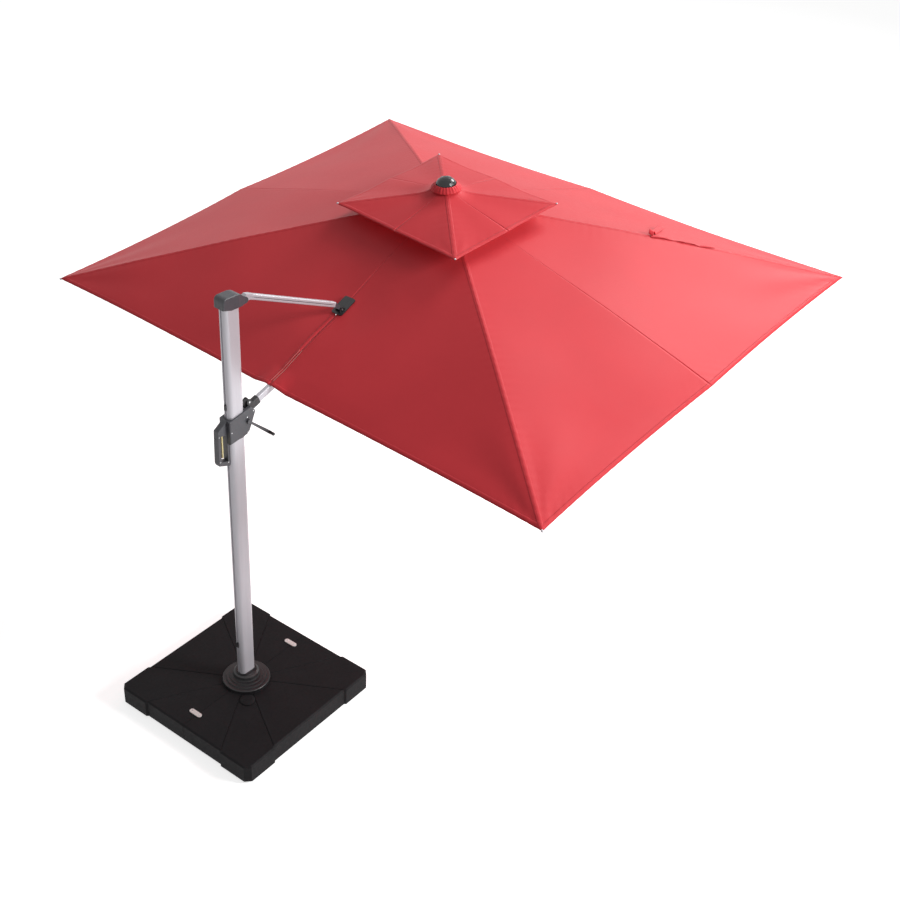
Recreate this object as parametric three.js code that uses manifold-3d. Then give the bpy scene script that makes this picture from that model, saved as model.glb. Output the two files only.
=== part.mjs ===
// A cantilever patio umbrella on a filled base: crank-opened square canopy with a vent, hung from a boom and an
// upper arm on a mast that turns on its base. Millimetres, +Z up. The origin is the middle of the base's underside,
// +X points from the mast to the canopy.
import * as THREE from "three";
import { mergeVertices } from "three/addons/utils/BufferGeometryUtils.js";
import Module from "manifold-3d";

const wasm = await Module();
wasm.setup();

const deg = THREE.MathUtils.degToRad;
const { cos, sin, tan, atan2, hypot, PI } = Math;

// ---- Clearances ----
const SEAT = 0.3; // between pieces that rest on or in each other
const FAR = 400; // beyond every fitting, for boxes that only cut
const CUT_REACH = 50; // half the length of bars that only cut
const SLIDE = 0.5; // between pieces that slide on each other
const PIN_FIT = 0.4; // round a pin, on the radius

// ---- Base ----
const BASE_SIDE = 1048;
const BASE_TOP = 135;
const BASE_TURN = deg(3.03);
const CORNER_CUT = 32;
const TOP_BEVEL = 9;
const EDGE_RECESS = 10; // the middle of each side lies this far inside the corner blocks
const CREASE_AT = 308; // from the middle of a side to the edge of its corner block
const CREASE_WIDTH = 9;
const CREASE_DEPTH = 4;
const SPLIT_GAP = 2;
const WELL_RADIUS = 128;
const FOOT_HEIGHT = 12;
const FOOT_RADIUS = 25;
const FOOT_INSET = 46;
const CROSS_WIDTH = 50;
const CROSS_HEIGHT = 30;
const CROSS_REACH = 560;
const CROSS_HUB_RADIUS = 95;
const CROSS_HUB_TOP = 40;
const BRIDGE = { length: 88, width: 30, height: 5, x: 400, y: 15, corner: 14.5 };
const CAP = { x: 132, y: 139, radius: 44, rim: 6, dome: 14, neckRadius: 31, neckDepth: 22 };
const SPIGOT = { radius: 24, top: 700, flangeRadius: 90, flangeHeight: 12, collarRadius: 27 };
const FLANGE_COVER = {
  radius: 141,
  steps: 4,
  stepRise: 9,
  stepRun: 20,
  rim: 22,
  crownRise: 24,
  crownRound: 14,
  collarWall: 9,
  collarRise: 30,
};

// ---- Mast ----
const MAST = { length: 106, width: 62, round: 28, wall: 3, foot: 150, top: 2680 };
// the groove down the mast's rear face, and the metal behind it
const TRACK = { width: 10, depth: 5, floor: 5 };
const LOCK = { top: 1903, pitch: 216, count: 5, radius: 5 };
const BUSH = { rim: 6, plug: 110 };
const TRACK_STOP = { upper: 2046, lower: 418, height: 32, stand: 6 };
const HEAD = { bottom: 2620, halfWidth: 37, bevel: 6, earRadius: 17, slotHalf: 16, crown: 19, front: 62 };
const HEAD_NOSE = { start: 38, half: 23, pinInset: 2 }; // the cap narrows towards its pivot

// ---- Linkage of upper arm, boom and slider: two equal links, and the slider's pivot right under the head's ----
const PIVOT_X = 95;
const HEAD_PIVOT_Z = 2637;
const LINK = 752;
const LINK_ANGLE = deg(23.43);
const HEAD_PIN_RADIUS = 6;
const BRACKET_PIN_RADIUS = 4.5;

// ---- Upper arm ----
const ARM = {
  side: 30,
  round: 5,
  wall: 2.5,
  rise: 18,
  rootHub: 14,
  endHub: 9,
  tubeStart: 34,
  endFitting: 56,
};
const ARM_CHEEK = 14.5; // half the width of the end fittings

// ---- Boom ----
const BOOM = { width: 28, height: 42, round: 8, wall: 2.5, slope: deg(20), start: -15 };
const BOOM_DROP = 41; // from the slider's pivot down to the boom's axis
const COLLAR = { from: -18, to: 62, wall: 4, ear: 16, earInner: 9.5 };

const BRACKET = { back: 35, front: 95, halfWidth: 39, thick: 4.5, lift: 1.5, round: 12, ear: 13 };
const BRACKET_EAR = { inner: 15.5, outer: 22 };
const PEDESTAL = { halfLength: 30, halfWidth: 6 };
const SADDLE = { halfLength: 45, wall: 5, skirt: 11 };

// ---- Slider: places are from the mast's axis and from the lock pin's height ----
const SHELL = { halfWidth: 42, bevel: 6, wellHalf: 21, wellFront: 61 };
const HANDLE_HALF = 18;
const LINER = { wall: 3.5, from: -45, to: 85 };
const SLIDER_BODY = [[-66, -51], [52, -34], [72, -17], [92, 28], [117, 88], [87, 121], [-66, 88]];
const HANDLE_LOOP = [[-56, 80], [-56, -195], [-128, -167], [-133, -150], [-128, 45], [-66, 88]];
const HANDLE_WINDOW = [[-68, -160], [-113, -146], [-113, 14], [-68, 6]];
const LUG_HALF = 8.5;
const LUG_HUB = 13;
const LEVER = { x: -96, pivot: 40, half: 9, thick: 9, foot: -132, pinRadius: 3, pinHalf: 13, bay: 27, play: 3 };
const LOCK_PIN = { radius: 3.5, tip: -50, tail: -90 };

// ---- Crank ----
const CRANK = { x: 61, z: 45, angle: deg(42.5), reach: 192, rootWidth: 13, tipWidth: 19, thick: 10 };
const CRANK_HUB = { radius: 13, spindle: 6, spindleDepth: 12, gap: 1 };
const KNOB = { radius: 9.5, length: 30, pin: 4 };

// ---- Canopy: a rectangular roof of four panels, each folded along its middle rib ----
const CANOPY = { x: 1715.2, z: 2209.8, tilt: deg(6.005), halfU: 1472.7, halfV: 1830, apex: 536.8 };
const MID_RAISE = { u: 5.6, v: 13.1 }; // how far the middle of each side stands over the corners
const CLOTH = 1.5;
// for the boom and the bracket
const SLIT = { half: 1, notch: 150, notchHalf: 16, pedestal: 36, gateHalf: 8 };
const SEAM_GAP = 0.35;
const VENT_OPENING_U = 300;
const VENT = { halfU: 422.5, halfV: 483.8, corner: 488.7, apex: 574.2, tilt: deg(1.03), turn: deg(-4.18) };

// ---- Canopy frame: rib, strut and runner make the same two equal links at every rib ----
const FOLD = { pivotRadius: 75, pivotHeight: 490, link: 360, start: deg(20) };
const RIB = { width: 14, height: 22, bevel: 3, wall: 1.6, root: 45, tipInset: 26, drop: 14.5 };
const RIB_PIN = 2.5;
const STRUT = { width: 8, height: 16, side: 12, pin: 3, lug: 9 };
const MAST_RIB_SIDE = 35; // the rib over the boom lies this far to its side
const CROWN = { radius: 97, thick: 24, slotStart: 57, slotHalf: 7.5 };
const RUNNER = { radius: 84, thick: 24, slotStart: 58, slotHalf: 4.5 };
const HUB = { stemRadius: 15, stemFoot: 205, neckRadius: 18, boomCross: 363 };
const HUB_SLEEVE = { wall: 5, back: 80, front: 26 };
const POST = { radius: 12, rise: 40 }; // its top stands this far over the vent's apex
const SPIDER = {
  radius: 113,
  pivot: 105,
  drop: 29.2,
  thick: 10,
  width: 18,
  slotHalf: 4,
  slotStart: 92,
  pin: 1.5,
};
const VENT_ROD = { radius: 3, inset: 14, drop: 5.2, root: 4.5 };
const FINIAL = { radius: 60, rise: 23, height: 60, socketRise: 44, rim: 10, skirt: 10 };


// ---- Worked out from the sizes above ----
const armDrop = LINK * sin(LINK_ANGLE);
const pivotZ = HEAD_PIVOT_Z - 2 * armDrop; // the slider's pivot
const boomLinkAngle = LINK_ANGLE - BOOM.slope;
const boomPivotX = LINK * cos(boomLinkAngle); // the bracket's pivot, along and across the boom
const boomPivotZ = LINK * sin(boomLinkAngle);
const openingV = (VENT_OPENING_U * CANOPY.halfV) / CANOPY.halfU;
const halfMast = MAST.length / 2;
const spiderZ = VENT.apex - SPIDER.drop;
const postTop = VENT.apex + POST.rise;
const finialSeat = VENT.apex + FINIAL.rise;
const socketTop = VENT.apex + FINIAL.socketRise;

// ---- Materials ----
const finish = (color, roughness, metalness = 0) =>
  new THREE.MeshStandardMaterial({ color, roughness, metalness });
const METAL = () => finish(0xb9b7bb, 0.45, 0.7);
const TRIM = () => finish(0x4b4b52, 0.5);
const BLACK = () => finish(0x1d1c1f, 0.45);
const TANK = () => finish(0x282628, 0.6);
const STEEL = () => finish(0x8c8f94, 0.35, 0.9);
const CREAM = () => finish(0xd8cf9a, 0.5);
const CLOTH_RED = () => finish(0xc23a40, 0.9);

// ---- Solids ----
// A closed geometry as a solid.
function solid(geometry) {
  const bare = geometry.clone();
  bare.deleteAttribute("normal");
  bare.deleteAttribute("uv");
  const merged = mergeVertices(bare, 1e-4);
  return new wasm.Manifold(
    new wasm.Mesh({
      numProp: 3,
      vertProperties: new Float32Array(merged.attributes.position.array),
      triVerts: new Uint32Array(merged.index.array),
    }),
  );
}

function geometryOf(body) {
  const mesh = body.getMesh();
  const geometry = new THREE.BufferGeometry();
  geometry.setAttribute("position", new THREE.BufferAttribute(new Float32Array(mesh.vertProperties), 3));
  geometry.setIndex(new THREE.BufferAttribute(new Uint32Array(mesh.triVerts), 1));
  return geometry;
}

const join = (first, ...others) =>
  geometryOf(others.reduce((body, other) => body.add(solid(other)), solid(first)));
const cut = (first, ...tools) =>
  geometryOf(tools.reduce((body, tool) => body.subtract(solid(tool)), solid(first)));
const common = (first, second) => geometryOf(solid(first).intersect(solid(second)));

const moved = (geometry, x, y, z) => geometry.clone().translate(x, y, z);
const turnedX = (geometry, angle) => geometry.clone().rotateX(angle);
const turnedY = (geometry, angle) => geometry.clone().rotateY(angle);
const turnedZ = (geometry, angle) => geometry.clone().rotateZ(angle);

// A box between two corners.
function box(x0, x1, y0, y1, z0, z1) {
  const geometry = new THREE.BoxGeometry(x1 - x0, y1 - y0, z1 - z0);
  return geometry.translate((x0 + x1) / 2, (y0 + y1) / 2, (z0 + z1) / 2);
}

// A round bar along Z, Y or X.
function barZ(radius, z0, z1, sides = 20) {
  return turnedX(new THREE.CylinderGeometry(radius, radius, z1 - z0, sides), PI / 2).translate(
    0,
    0,
    (z0 + z1) / 2,
  );
}
function barY(radius, x, z, y0, y1, sides = 12) {
  return new THREE.CylinderGeometry(radius, radius, y1 - y0, sides).translate(x, (y0 + y1) / 2, z);
}
function barX(radius, y, z, x0, x1, sides = 12) {
  return turnedZ(new THREE.CylinderGeometry(radius, radius, x1 - x0, sides), PI / 2).translate(
    (x0 + x1) / 2,
    y,
    z,
  );
}

// A rectangle with round corners, centred on the origin.
function roundRect(width, height, radius) {
  const x = width / 2;
  const y = height / 2;
  const shape = new THREE.Shape();
  shape.absarc(x - radius, y - radius, radius, 0, PI / 2);
  shape.absarc(radius - x, y - radius, radius, PI / 2, PI);
  shape.absarc(radius - x, radius - y, radius, PI, 1.5 * PI);
  shape.absarc(x - radius, radius - y, radius, 1.5 * PI, 2 * PI);
  return shape;
}

function polygon(points) {
  return new THREE.Shape(points.map(([x, y]) => new THREE.Vector2(x, y)));
}

// An outline in X and Y, raised from z0 to z1.
function raise(shape, z0, z1, curveSegments = 5) {
  return new THREE.ExtrudeGeometry(shape, { depth: z1 - z0, bevelEnabled: false, curveSegments }).translate(
    0,
    0,
    z0,
  );
}

// An outline drawn in X and Z, made thick from y0 to y1.
function plank(shape, y0, y1, curveSegments = 5) {
  return turnedX(raise(shape, -y1, -y0, curveSegments), PI / 2);
}

// The same with a bevel along its outer edge only, for the half of a housing on one side (+1 or -1) of Y = 0.
function housing(shape, inner, outer, bevel, side) {
  const settings = {
    depth: outer - inner - bevel,
    bevelEnabled: true,
    bevelThickness: bevel,
    bevelSize: bevel,
  };
  const whole = new THREE.ExtrudeGeometry(
    shape,
    { ...settings, bevelOffset: -bevel, bevelSegments: 2, curveSegments: 5 },
  );
  const standing = turnedX(whole, PI / 2).translate(0, outer - bevel, 0);
  const half = common(standing, box(-FAR, FAR, inner, outer + bevel, -FAR, FAR));
  return side > 0 ? half : turnedHalf(half);
}

// A half mirrored in Y = 0, with its faces turned out again.
function turnedHalf(geometry) {
  const mirrored = geometry.clone().scale(1, -1, 1);
  const index = mirrored.index.array;
  for (let i = 0; i < index.length; i += 3) {
    [index[i + 1], index[i + 2]] = [index[i + 2], index[i + 1]];
  }
  return mirrored;
}

// An outline across the X axis, swept along it: a tube or a bar.
function along(shape, x0, x1, curveSegments = 3) {
  const straight = raise(shape, x0, x1, curveSegments);
  return straight.applyMatrix4(new THREE.Matrix4().set(0, 0, 1, 0, 1, 0, 0, 0, 0, 1, 0, 0, 0, 0, 0, 1));
}

// A body of revolution about Z from radius and height pairs.
function turned(points, sides = 32) {
  return turnedX(new THREE.LatheGeometry(points.map(([r, z]) => new THREE.Vector2(r, z)), sides), PI / 2);
}

function add(parent, name, geometry, material) {
  const mesh = new THREE.Mesh(geometry, material);
  mesh.name = name;
  parent.add(mesh);
  return mesh;
}

function group(parent, x = 0, y = 0, z = 0) {
  const made = new THREE.Group();
  made.position.set(x, y, z);
  parent.add(made);
  return made;
}

const mastOutline = (grow) => roundRect(MAST.length + 2 * grow, MAST.width + 2 * grow, MAST.round + grow);
const boomOutline = (grow) => roundRect(BOOM.width + 2 * grow, BOOM.height + 2 * grow, BOOM.round + grow);

const model = new THREE.Group();

// ======== Base: two filled tanks over a steel cross ========
function baseOutline() {
  const half = BASE_SIDE / 2;
  const quarter = [
    [half - EDGE_RECESS, CREASE_AT - EDGE_RECESS],
    [half, CREASE_AT],
    [half, half - CORNER_CUT],
    [half - CORNER_CUT, half],
    [CREASE_AT, half],
    [CREASE_AT - EDGE_RECESS, half - EDGE_RECESS],
  ];
  const points = [];
  for (let i = 0; i < 4; i += 1) {
    const turn = (i * PI) / 2;
    for (const [x, y] of quarter) {
      points.push([x * cos(turn) - y * sin(turn), x * sin(turn) + y * cos(turn)]);
    }
  }
  return polygon(points);
}

// A V-shaped crease across the top, from the well to the edge of a corner block.
function crease(x, y) {
  const length = hypot(x, y) + CREASE_WIDTH;
  const section = polygon([[-CREASE_WIDTH / 2, 1], [0, -CREASE_DEPTH], [CREASE_WIDTH / 2, 1]]);
  return turnedZ(along(section, WELL_RADIUS, length), atan2(y, x)).translate(0, 0, BASE_TOP);
}

function crossOutline(grow) {
  const half = CROSS_WIDTH / 2 + grow;
  return box(-CROSS_REACH - grow, CROSS_REACH + grow, -half, half, 0, CROSS_HEIGHT + grow);
}

function makeBase() {
  const base = group(model);
  base.rotation.z = BASE_TURN;
  const half = BASE_SIDE / 2;
  const settings = {
    bevelEnabled: true,
    bevelThickness: TOP_BEVEL,
    bevelSize: TOP_BEVEL,
    bevelOffset: -TOP_BEVEL,
  };
  const depth = BASE_TOP - FOOT_HEIGHT - 2 * TOP_BEVEL;
  let tank = new THREE.ExtrudeGeometry(baseOutline(), { ...settings, depth, bevelSegments: 1 });
  tank.translate(0, 0, FOOT_HEIGHT + TOP_BEVEL);
  const feet = [];
  const stations = [half - FOOT_INSET - CORNER_CUT, (half - FOOT_INSET) / 3];
  for (const reach of stations) {
    for (const side of [-1, 1]) {
      for (let i = 0; i < 4; i += 1) {
        const foot = turned(
          [[0, 0], [FOOT_RADIUS - 4, 0], [FOOT_RADIUS, FOOT_HEIGHT + 4], [0, FOOT_HEIGHT + 4]],
          10,
        );
        feet.push(turnedZ(moved(foot, half - FOOT_INSET, side * reach, 0), (i * PI) / 2));
      }
    }
  }
  tank = join(tank, ...feet);
  const creases = [];
  for (let i = 0; i < 4; i += 1) {
    creases.push(
      turnedZ(crease(half, CREASE_AT), (i * PI) / 2),
      turnedZ(crease(half, -CREASE_AT), (i * PI) / 2),
    );
  }
  const channels = [PI / 4, -PI / 4].map((turn) => turnedZ(moved(crossOutline(SEAT), 0, 0, -1), turn));
  const channelTops = channels.map((channel) => moved(channel, 0, 0, 1));
  const necks = [-1, 1].map((side) =>
    barZ(CAP.neckRadius + SEAT, BASE_TOP - CAP.neckDepth - SEAT, BASE_TOP + 1, 24).translate(side * CAP.x, side * CAP.y, 0),
  );
  tank = cut(
    tank,
    barZ(WELL_RADIUS, -1, BASE_TOP + 1, 32),
    ...channels,
    ...channelTops,
    ...necks,
    ...creases,
  );
  add(base, "base_half_left", common(tank, box(-half, half, SPLIT_GAP / 2, half, 0, BASE_TOP)), TANK());
  add(base, "base_half_right", common(tank, box(-half, half, -half, -SPLIT_GAP / 2, 0, BASE_TOP)), TANK());

  for (const [side, name] of [[-1, "front"], [1, "rear"]]) {
    const plate = raise(roundRect(BRIDGE.width, BRIDGE.length, BRIDGE.corner), 0, BRIDGE.height);
    add(base, `bridge_plate_${name}`, plate, BLACK()).position.set(
      side * BRIDGE.x,
      BRIDGE.y,
      BASE_TOP + SEAT,
    );
    const cap = turned([
      [0, SEAT - CAP.neckDepth],
      [CAP.neckRadius, SEAT - CAP.neckDepth],
      [CAP.neckRadius, SEAT],
      [CAP.radius, SEAT],
      [CAP.radius, CAP.rim],
      [CAP.radius - 5, CAP.rim + 3],
      [CAP.radius - 16, CAP.dome - 1],
      [0, CAP.dome],
    ], 24);
    add(base, `filler_cap_${name}`, cap, TANK()).position.set(side * CAP.x, side * CAP.y, BASE_TOP);
  }

  const bars = [PI / 4, -PI / 4].map((turn) => turnedZ(crossOutline(0), turn));
  add(base, "cross_frame", join(bars[0], bars[1], barZ(CROSS_HUB_RADIUS, 0, CROSS_HUB_TOP, 32)), STEEL());
  const seat = CROSS_HUB_TOP + SEAT;
  const shoulder = MAST.foot - BUSH.rim - SEAT;
  const spigot = turned([
    [0, seat],
    [SPIGOT.flangeRadius, seat],
    [SPIGOT.flangeRadius, seat + SPIGOT.flangeHeight],
    [SPIGOT.collarRadius, seat + SPIGOT.flangeHeight],
    [SPIGOT.collarRadius, shoulder - SEAT],
    [SPIGOT.radius, shoulder - SEAT],
    [SPIGOT.radius, SPIGOT.top - 4],
    [SPIGOT.radius - 4, SPIGOT.top],
    [0, SPIGOT.top],
  ], 24);
  add(base, "mast_spigot", spigot, STEEL());
}

// ======== Mast, with its foot, track stops and head ========
function mastTube() {
  const outline = mastOutline(0);
  const inside = halfMast - MAST.wall;
  const rear = -halfMast + TRACK.depth + TRACK.floor;
  const bore = roundRect(inside - rear, MAST.width - 2 * MAST.wall, MAST.round - MAST.wall - 2);
  const tube = raise(outline, MAST.foot, MAST.top);
  const hollow = raise(bore, MAST.foot - 1, MAST.top + 1).translate((inside + rear) / 2, 0, 0);
  const groove = box(
    -halfMast - 1,
    -halfMast + TRACK.depth,
    -TRACK.width / 2,
    TRACK.width / 2,
    MAST.foot - 1,
    MAST.top + 1,
  );
  const holes = [];
  for (let i = 0; i < LOCK.count; i += 1) {
    holes.push(barX(LOCK.radius - 0.6, 0, LOCK.top - i * LOCK.pitch, -halfMast - 1, rear + 1, 10));
  }
  return cut(tube, hollow, groove, ...holes);
}

function footBush() {
  const inside = halfMast - MAST.wall - SEAT;
  const rear = -halfMast + TRACK.depth + TRACK.floor + SEAT;
  const width = MAST.width - 2 * MAST.wall - 2 * SEAT;
  const plug = raise(
    roundRect(inside - rear, width, MAST.round - MAST.wall - 2),
    MAST.foot - 1,
    MAST.foot + BUSH.plug,
  );
  const rim = raise(mastOutline(0), MAST.foot - BUSH.rim - SEAT, MAST.foot - SEAT);
  const bore = barZ(SPIGOT.radius + SLIDE, MAST.foot - BUSH.rim - 2, MAST.foot + BUSH.plug + 1, 24);
  return cut(join(rim, plug.translate((inside + rear) / 2, 0, 0)), bore);
}

function flangeCover() {
  const points = [[0, 0], [FLANGE_COVER.radius, 0], [FLANGE_COVER.radius, FLANGE_COVER.rim - 3]];
  let radius = FLANGE_COVER.radius - 3;
  let height = FLANGE_COVER.rim;
  points.push([radius, height]);
  for (let i = 1; i < FLANGE_COVER.steps; i += 1) {
    radius -= FLANGE_COVER.stepRun - 3;
    points.push([radius, height + 1]);
    height += FLANGE_COVER.stepRise;
    points.push([radius - 3, height]);
    radius -= 3;
  }
  const crown = height + FLANGE_COVER.crownRise;
  points.push([radius - 3, crown - FLANGE_COVER.crownRound / 2]);
  points.push([radius - FLANGE_COVER.crownRound, crown]);
  points.push([0, crown]);
  const collar = raise(mastOutline(FLANGE_COVER.collarWall), 0, height + FLANGE_COVER.collarRise);
  const joined = join(turned(points), collar);
  return cut(joined, raise(mastOutline(SEAT), -1, height + FLANGE_COVER.collarRise + 1));
}

function trackStop(z) {
  const seatX = -halfMast + TRACK.depth - SEAT;
  const half = TRACK.width / 2 - SEAT;
  const tongue = box(-halfMast - 1, seatX, -half, half, z, z + TRACK_STOP.height);
  const pad = raise(roundRect(TRACK_STOP.stand, 2 * half + 6, 2), z, z + TRACK_STOP.height);
  return join(tongue, pad.translate(-halfMast - SEAT - TRACK_STOP.stand / 2, 0, 0));
}

// One side of the head cap, seen from the side: over the tube's top and out to an ear round the arm's pin.
function headOutline() {
  const shape = new THREE.Shape();
  const rear = -halfMast - HEAD.bevel - 5;
  const crown = MAST.top + HEAD.crown;
  shape.moveTo(rear, HEAD.bottom + 15);
  shape.lineTo(-12, HEAD.bottom);
  shape.lineTo(PIVOT_X - 8, HEAD.bottom);
  shape.absarc(PIVOT_X, HEAD_PIVOT_Z, HEAD.earRadius, -PI * 0.6, PI * 0.3);
  shape.lineTo(74, crown - 30);
  shape.quadraticCurveTo(50, crown - 2, 22, crown);
  shape.lineTo(-38, crown);
  shape.quadraticCurveTo(rear, crown - 2, rear, crown - 28);
  return shape;
}

function headCap(side) {
  const shape = headOutline();
  const settings = { depth: HEAD.halfWidth - HEAD.bevel, bevelEnabled: true, bevelThickness: HEAD.bevel };
  const half = new THREE.ExtrudeGeometry(shape, {
    ...settings,
    bevelSize: HEAD.bevel,
    bevelOffset: -HEAD.bevel,
    bevelSegments: 2,
    curveSegments: 6,
  });
  const shoulder = [
    [HEAD_NOSE.start, HEAD.halfWidth],
    [PIVOT_X - HEAD_PIN_RADIUS, HEAD_NOSE.half],
    [2 * PIVOT_X, HEAD_NOSE.half],
    [2 * PIVOT_X, HEAD.halfWidth + 1],
    [HEAD_NOSE.start, HEAD.halfWidth + 1],
  ];
  let cap = turnedX(half, PI / 2).translate(0, HEAD.halfWidth - HEAD.bevel, 0);
  cap = common(cap, box(-200, 200, SEAT / 2, HEAD.halfWidth, HEAD.bottom - 50, MAST.top + 100));
  cap = cut(
    cap,
    raise(mastOutline(SEAT), HEAD.bottom - 60, MAST.top + SEAT),
    box(HEAD.front, 200, -HEAD.slotHalf, HEAD.slotHalf, HEAD.bottom - 60, MAST.top + 120),
    barY(HEAD_PIN_RADIUS + PIN_FIT, PIVOT_X, HEAD_PIVOT_Z, -1, HEAD_NOSE.half - HEAD_NOSE.pinInset),
    raise(polygon(shoulder), HEAD.bottom - 60, MAST.top + 120),
  );
  return side > 0 ? cap : turnedHalf(cap);
}

function makeMast() {
  const mast = group(model);
  add(mast, "mast_tube", mastTube(), METAL());
  add(mast, "foot_bush", footBush(), BLACK());
  add(mast, "flange_cover", flangeCover(), BLACK()).position.z = BASE_TOP + SLIDE;
  add(mast, "track_stop_upper", trackStop(TRACK_STOP.upper), BLACK());
  add(mast, "track_stop_lower", trackStop(TRACK_STOP.lower), BLACK());
  add(mast, "head_cap_left", headCap(1), TRIM());
  add(mast, "head_cap_right", headCap(-1), TRIM());
  const pinHalf = HEAD_NOSE.half - HEAD_NOSE.pinInset - SEAT;
  add(mast, "head_pin", barY(HEAD_PIN_RADIUS, PIVOT_X, HEAD_PIVOT_Z, -pinHalf, pinHalf), STEEL());
}

// ======== Upper arm ========
function makeArm() {
  const arm = group(model, PIVOT_X, 0, HEAD_PIVOT_Z);
  arm.rotation.y = LINK_ANGLE;
  const half = ARM.side / 2;
  const low = ARM.rise - half;
  const high = ARM.rise + half;
  const tubeEnd = LINK - ARM.endFitting;
  const outer = roundRect(ARM.side, ARM.side, ARM.round);
  outer.holes.push(roundRect(ARM.side - 2 * ARM.wall, ARM.side - 2 * ARM.wall, ARM.round - ARM.wall));
  const tube = along(outer, ARM.tubeStart, tubeEnd, 2).translate(0, 0, ARM.rise);
  const root = new THREE.Shape();
  root.absarc(0, 0, ARM.rootHub, PI * 0.75, PI * 1.5);
  root.lineTo(ARM.tubeStart, low);
  root.lineTo(ARM.tubeStart + 30, low + ARM.wall - 1);
  root.lineTo(ARM.tubeStart + 30, high - ARM.wall + 1);
  root.lineTo(ARM.tubeStart, high);
  root.lineTo(4, high - 4);
  const plug = plank(root, -ARM_CHEEK, ARM_CHEEK);
  const pinHole = barY(HEAD_PIN_RADIUS + PIN_FIT, 0, 0, -CUT_REACH, CUT_REACH);
  add(arm, "arm_tube", cut(join(tube, plug), pinHole), METAL());

  const plugInset = ARM.wall + 1;
  const end = new THREE.Shape();
  const hub = ARM.endHub;
  end.absarc(LINK, 0, hub, -PI / 2, PI * 0.35);
  end.lineTo(tubeEnd + SEAT, high);
  end.lineTo(tubeEnd + SEAT, high - plugInset);
  end.lineTo(tubeEnd - 30, high - plugInset);
  end.lineTo(tubeEnd - 30, low + plugInset);
  end.lineTo(tubeEnd + SEAT, low + plugInset);
  end.lineTo(tubeEnd + SEAT, low);
  const inset = ARM_CHEEK - 3;
  const cheeks = plank(end, -ARM_CHEEK, ARM_CHEEK);
  const sides = [-1, 1].map((side) =>
    side > 0
      ? box(tubeEnd - 31, tubeEnd + SEAT - 0.01, inset, 20, low - 1, high + 1)
      : box(tubeEnd - 31, tubeEnd + SEAT - 0.01, -20, -inset, low - 1, high + 1),
  );
  const endHole = barY(BRACKET_PIN_RADIUS + PIN_FIT, LINK, 0, -CUT_REACH, CUT_REACH, 12);
  add(arm, "arm_end", cut(cheeks, ...sides, endHole), finish(0x9b989d, 0.5));
}

// ======== Boom, with the collar at the slider and the bracket under the arm ========
function makeBoom() {
  const boom = group(model, PIVOT_X, 0, pivotZ);
  boom.rotation.y = -BOOM.slope;
  const section = boomOutline(0);
  section.holes.push(roundRect(BOOM.width - 2 * BOOM.wall, BOOM.height - 2 * BOOM.wall, BOOM.round - BOOM.wall));
  const tube = along(section, BOOM.start, boomEnd, 3).translate(0, 0, -BOOM_DROP);
  add(boom, "boom_tube", tube, METAL());

  const wall = COLLAR.wall;
  const sleeve = along(boomOutline(wall), COLLAR.from, COLLAR.to, 3).translate(0, 0, -BOOM_DROP);
  const ear = new THREE.Shape();
  ear.absarc(0, 0, COLLAR.ear, -0.15 * PI, PI);
  ear.lineTo(-COLLAR.ear, -BOOM_DROP);
  ear.lineTo(COLLAR.to - 12, -BOOM_DROP);
  const outer = BOOM.width / 2 + wall;
  const ears = [plank(ear, COLLAR.earInner, outer), plank(ear, -outer, -COLLAR.earInner)];
  const bore = along(boomOutline(SEAT), COLLAR.from - 9, COLLAR.to + 9, 3).translate(0, 0, -BOOM_DROP);
  const pinHole = barY(HEAD_PIN_RADIUS + PIN_FIT, 0, 0, -CUT_REACH, CUT_REACH);
  add(boom, "boom_collar", cut(join(sleeve, ...ears), bore, pinHole), BLACK());

  const bracket = makeBracket();
  add(boom, "boom_bracket", bracket, BLACK());
  const pinHalf = BRACKET_EAR.outer + 3;
  add(
    boom,
    "bracket_pin",
    barY(BRACKET_PIN_RADIUS, boomPivotX, boomPivotZ, -pinHalf, pinHalf, 12),
    STEEL(),
  );
}

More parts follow.
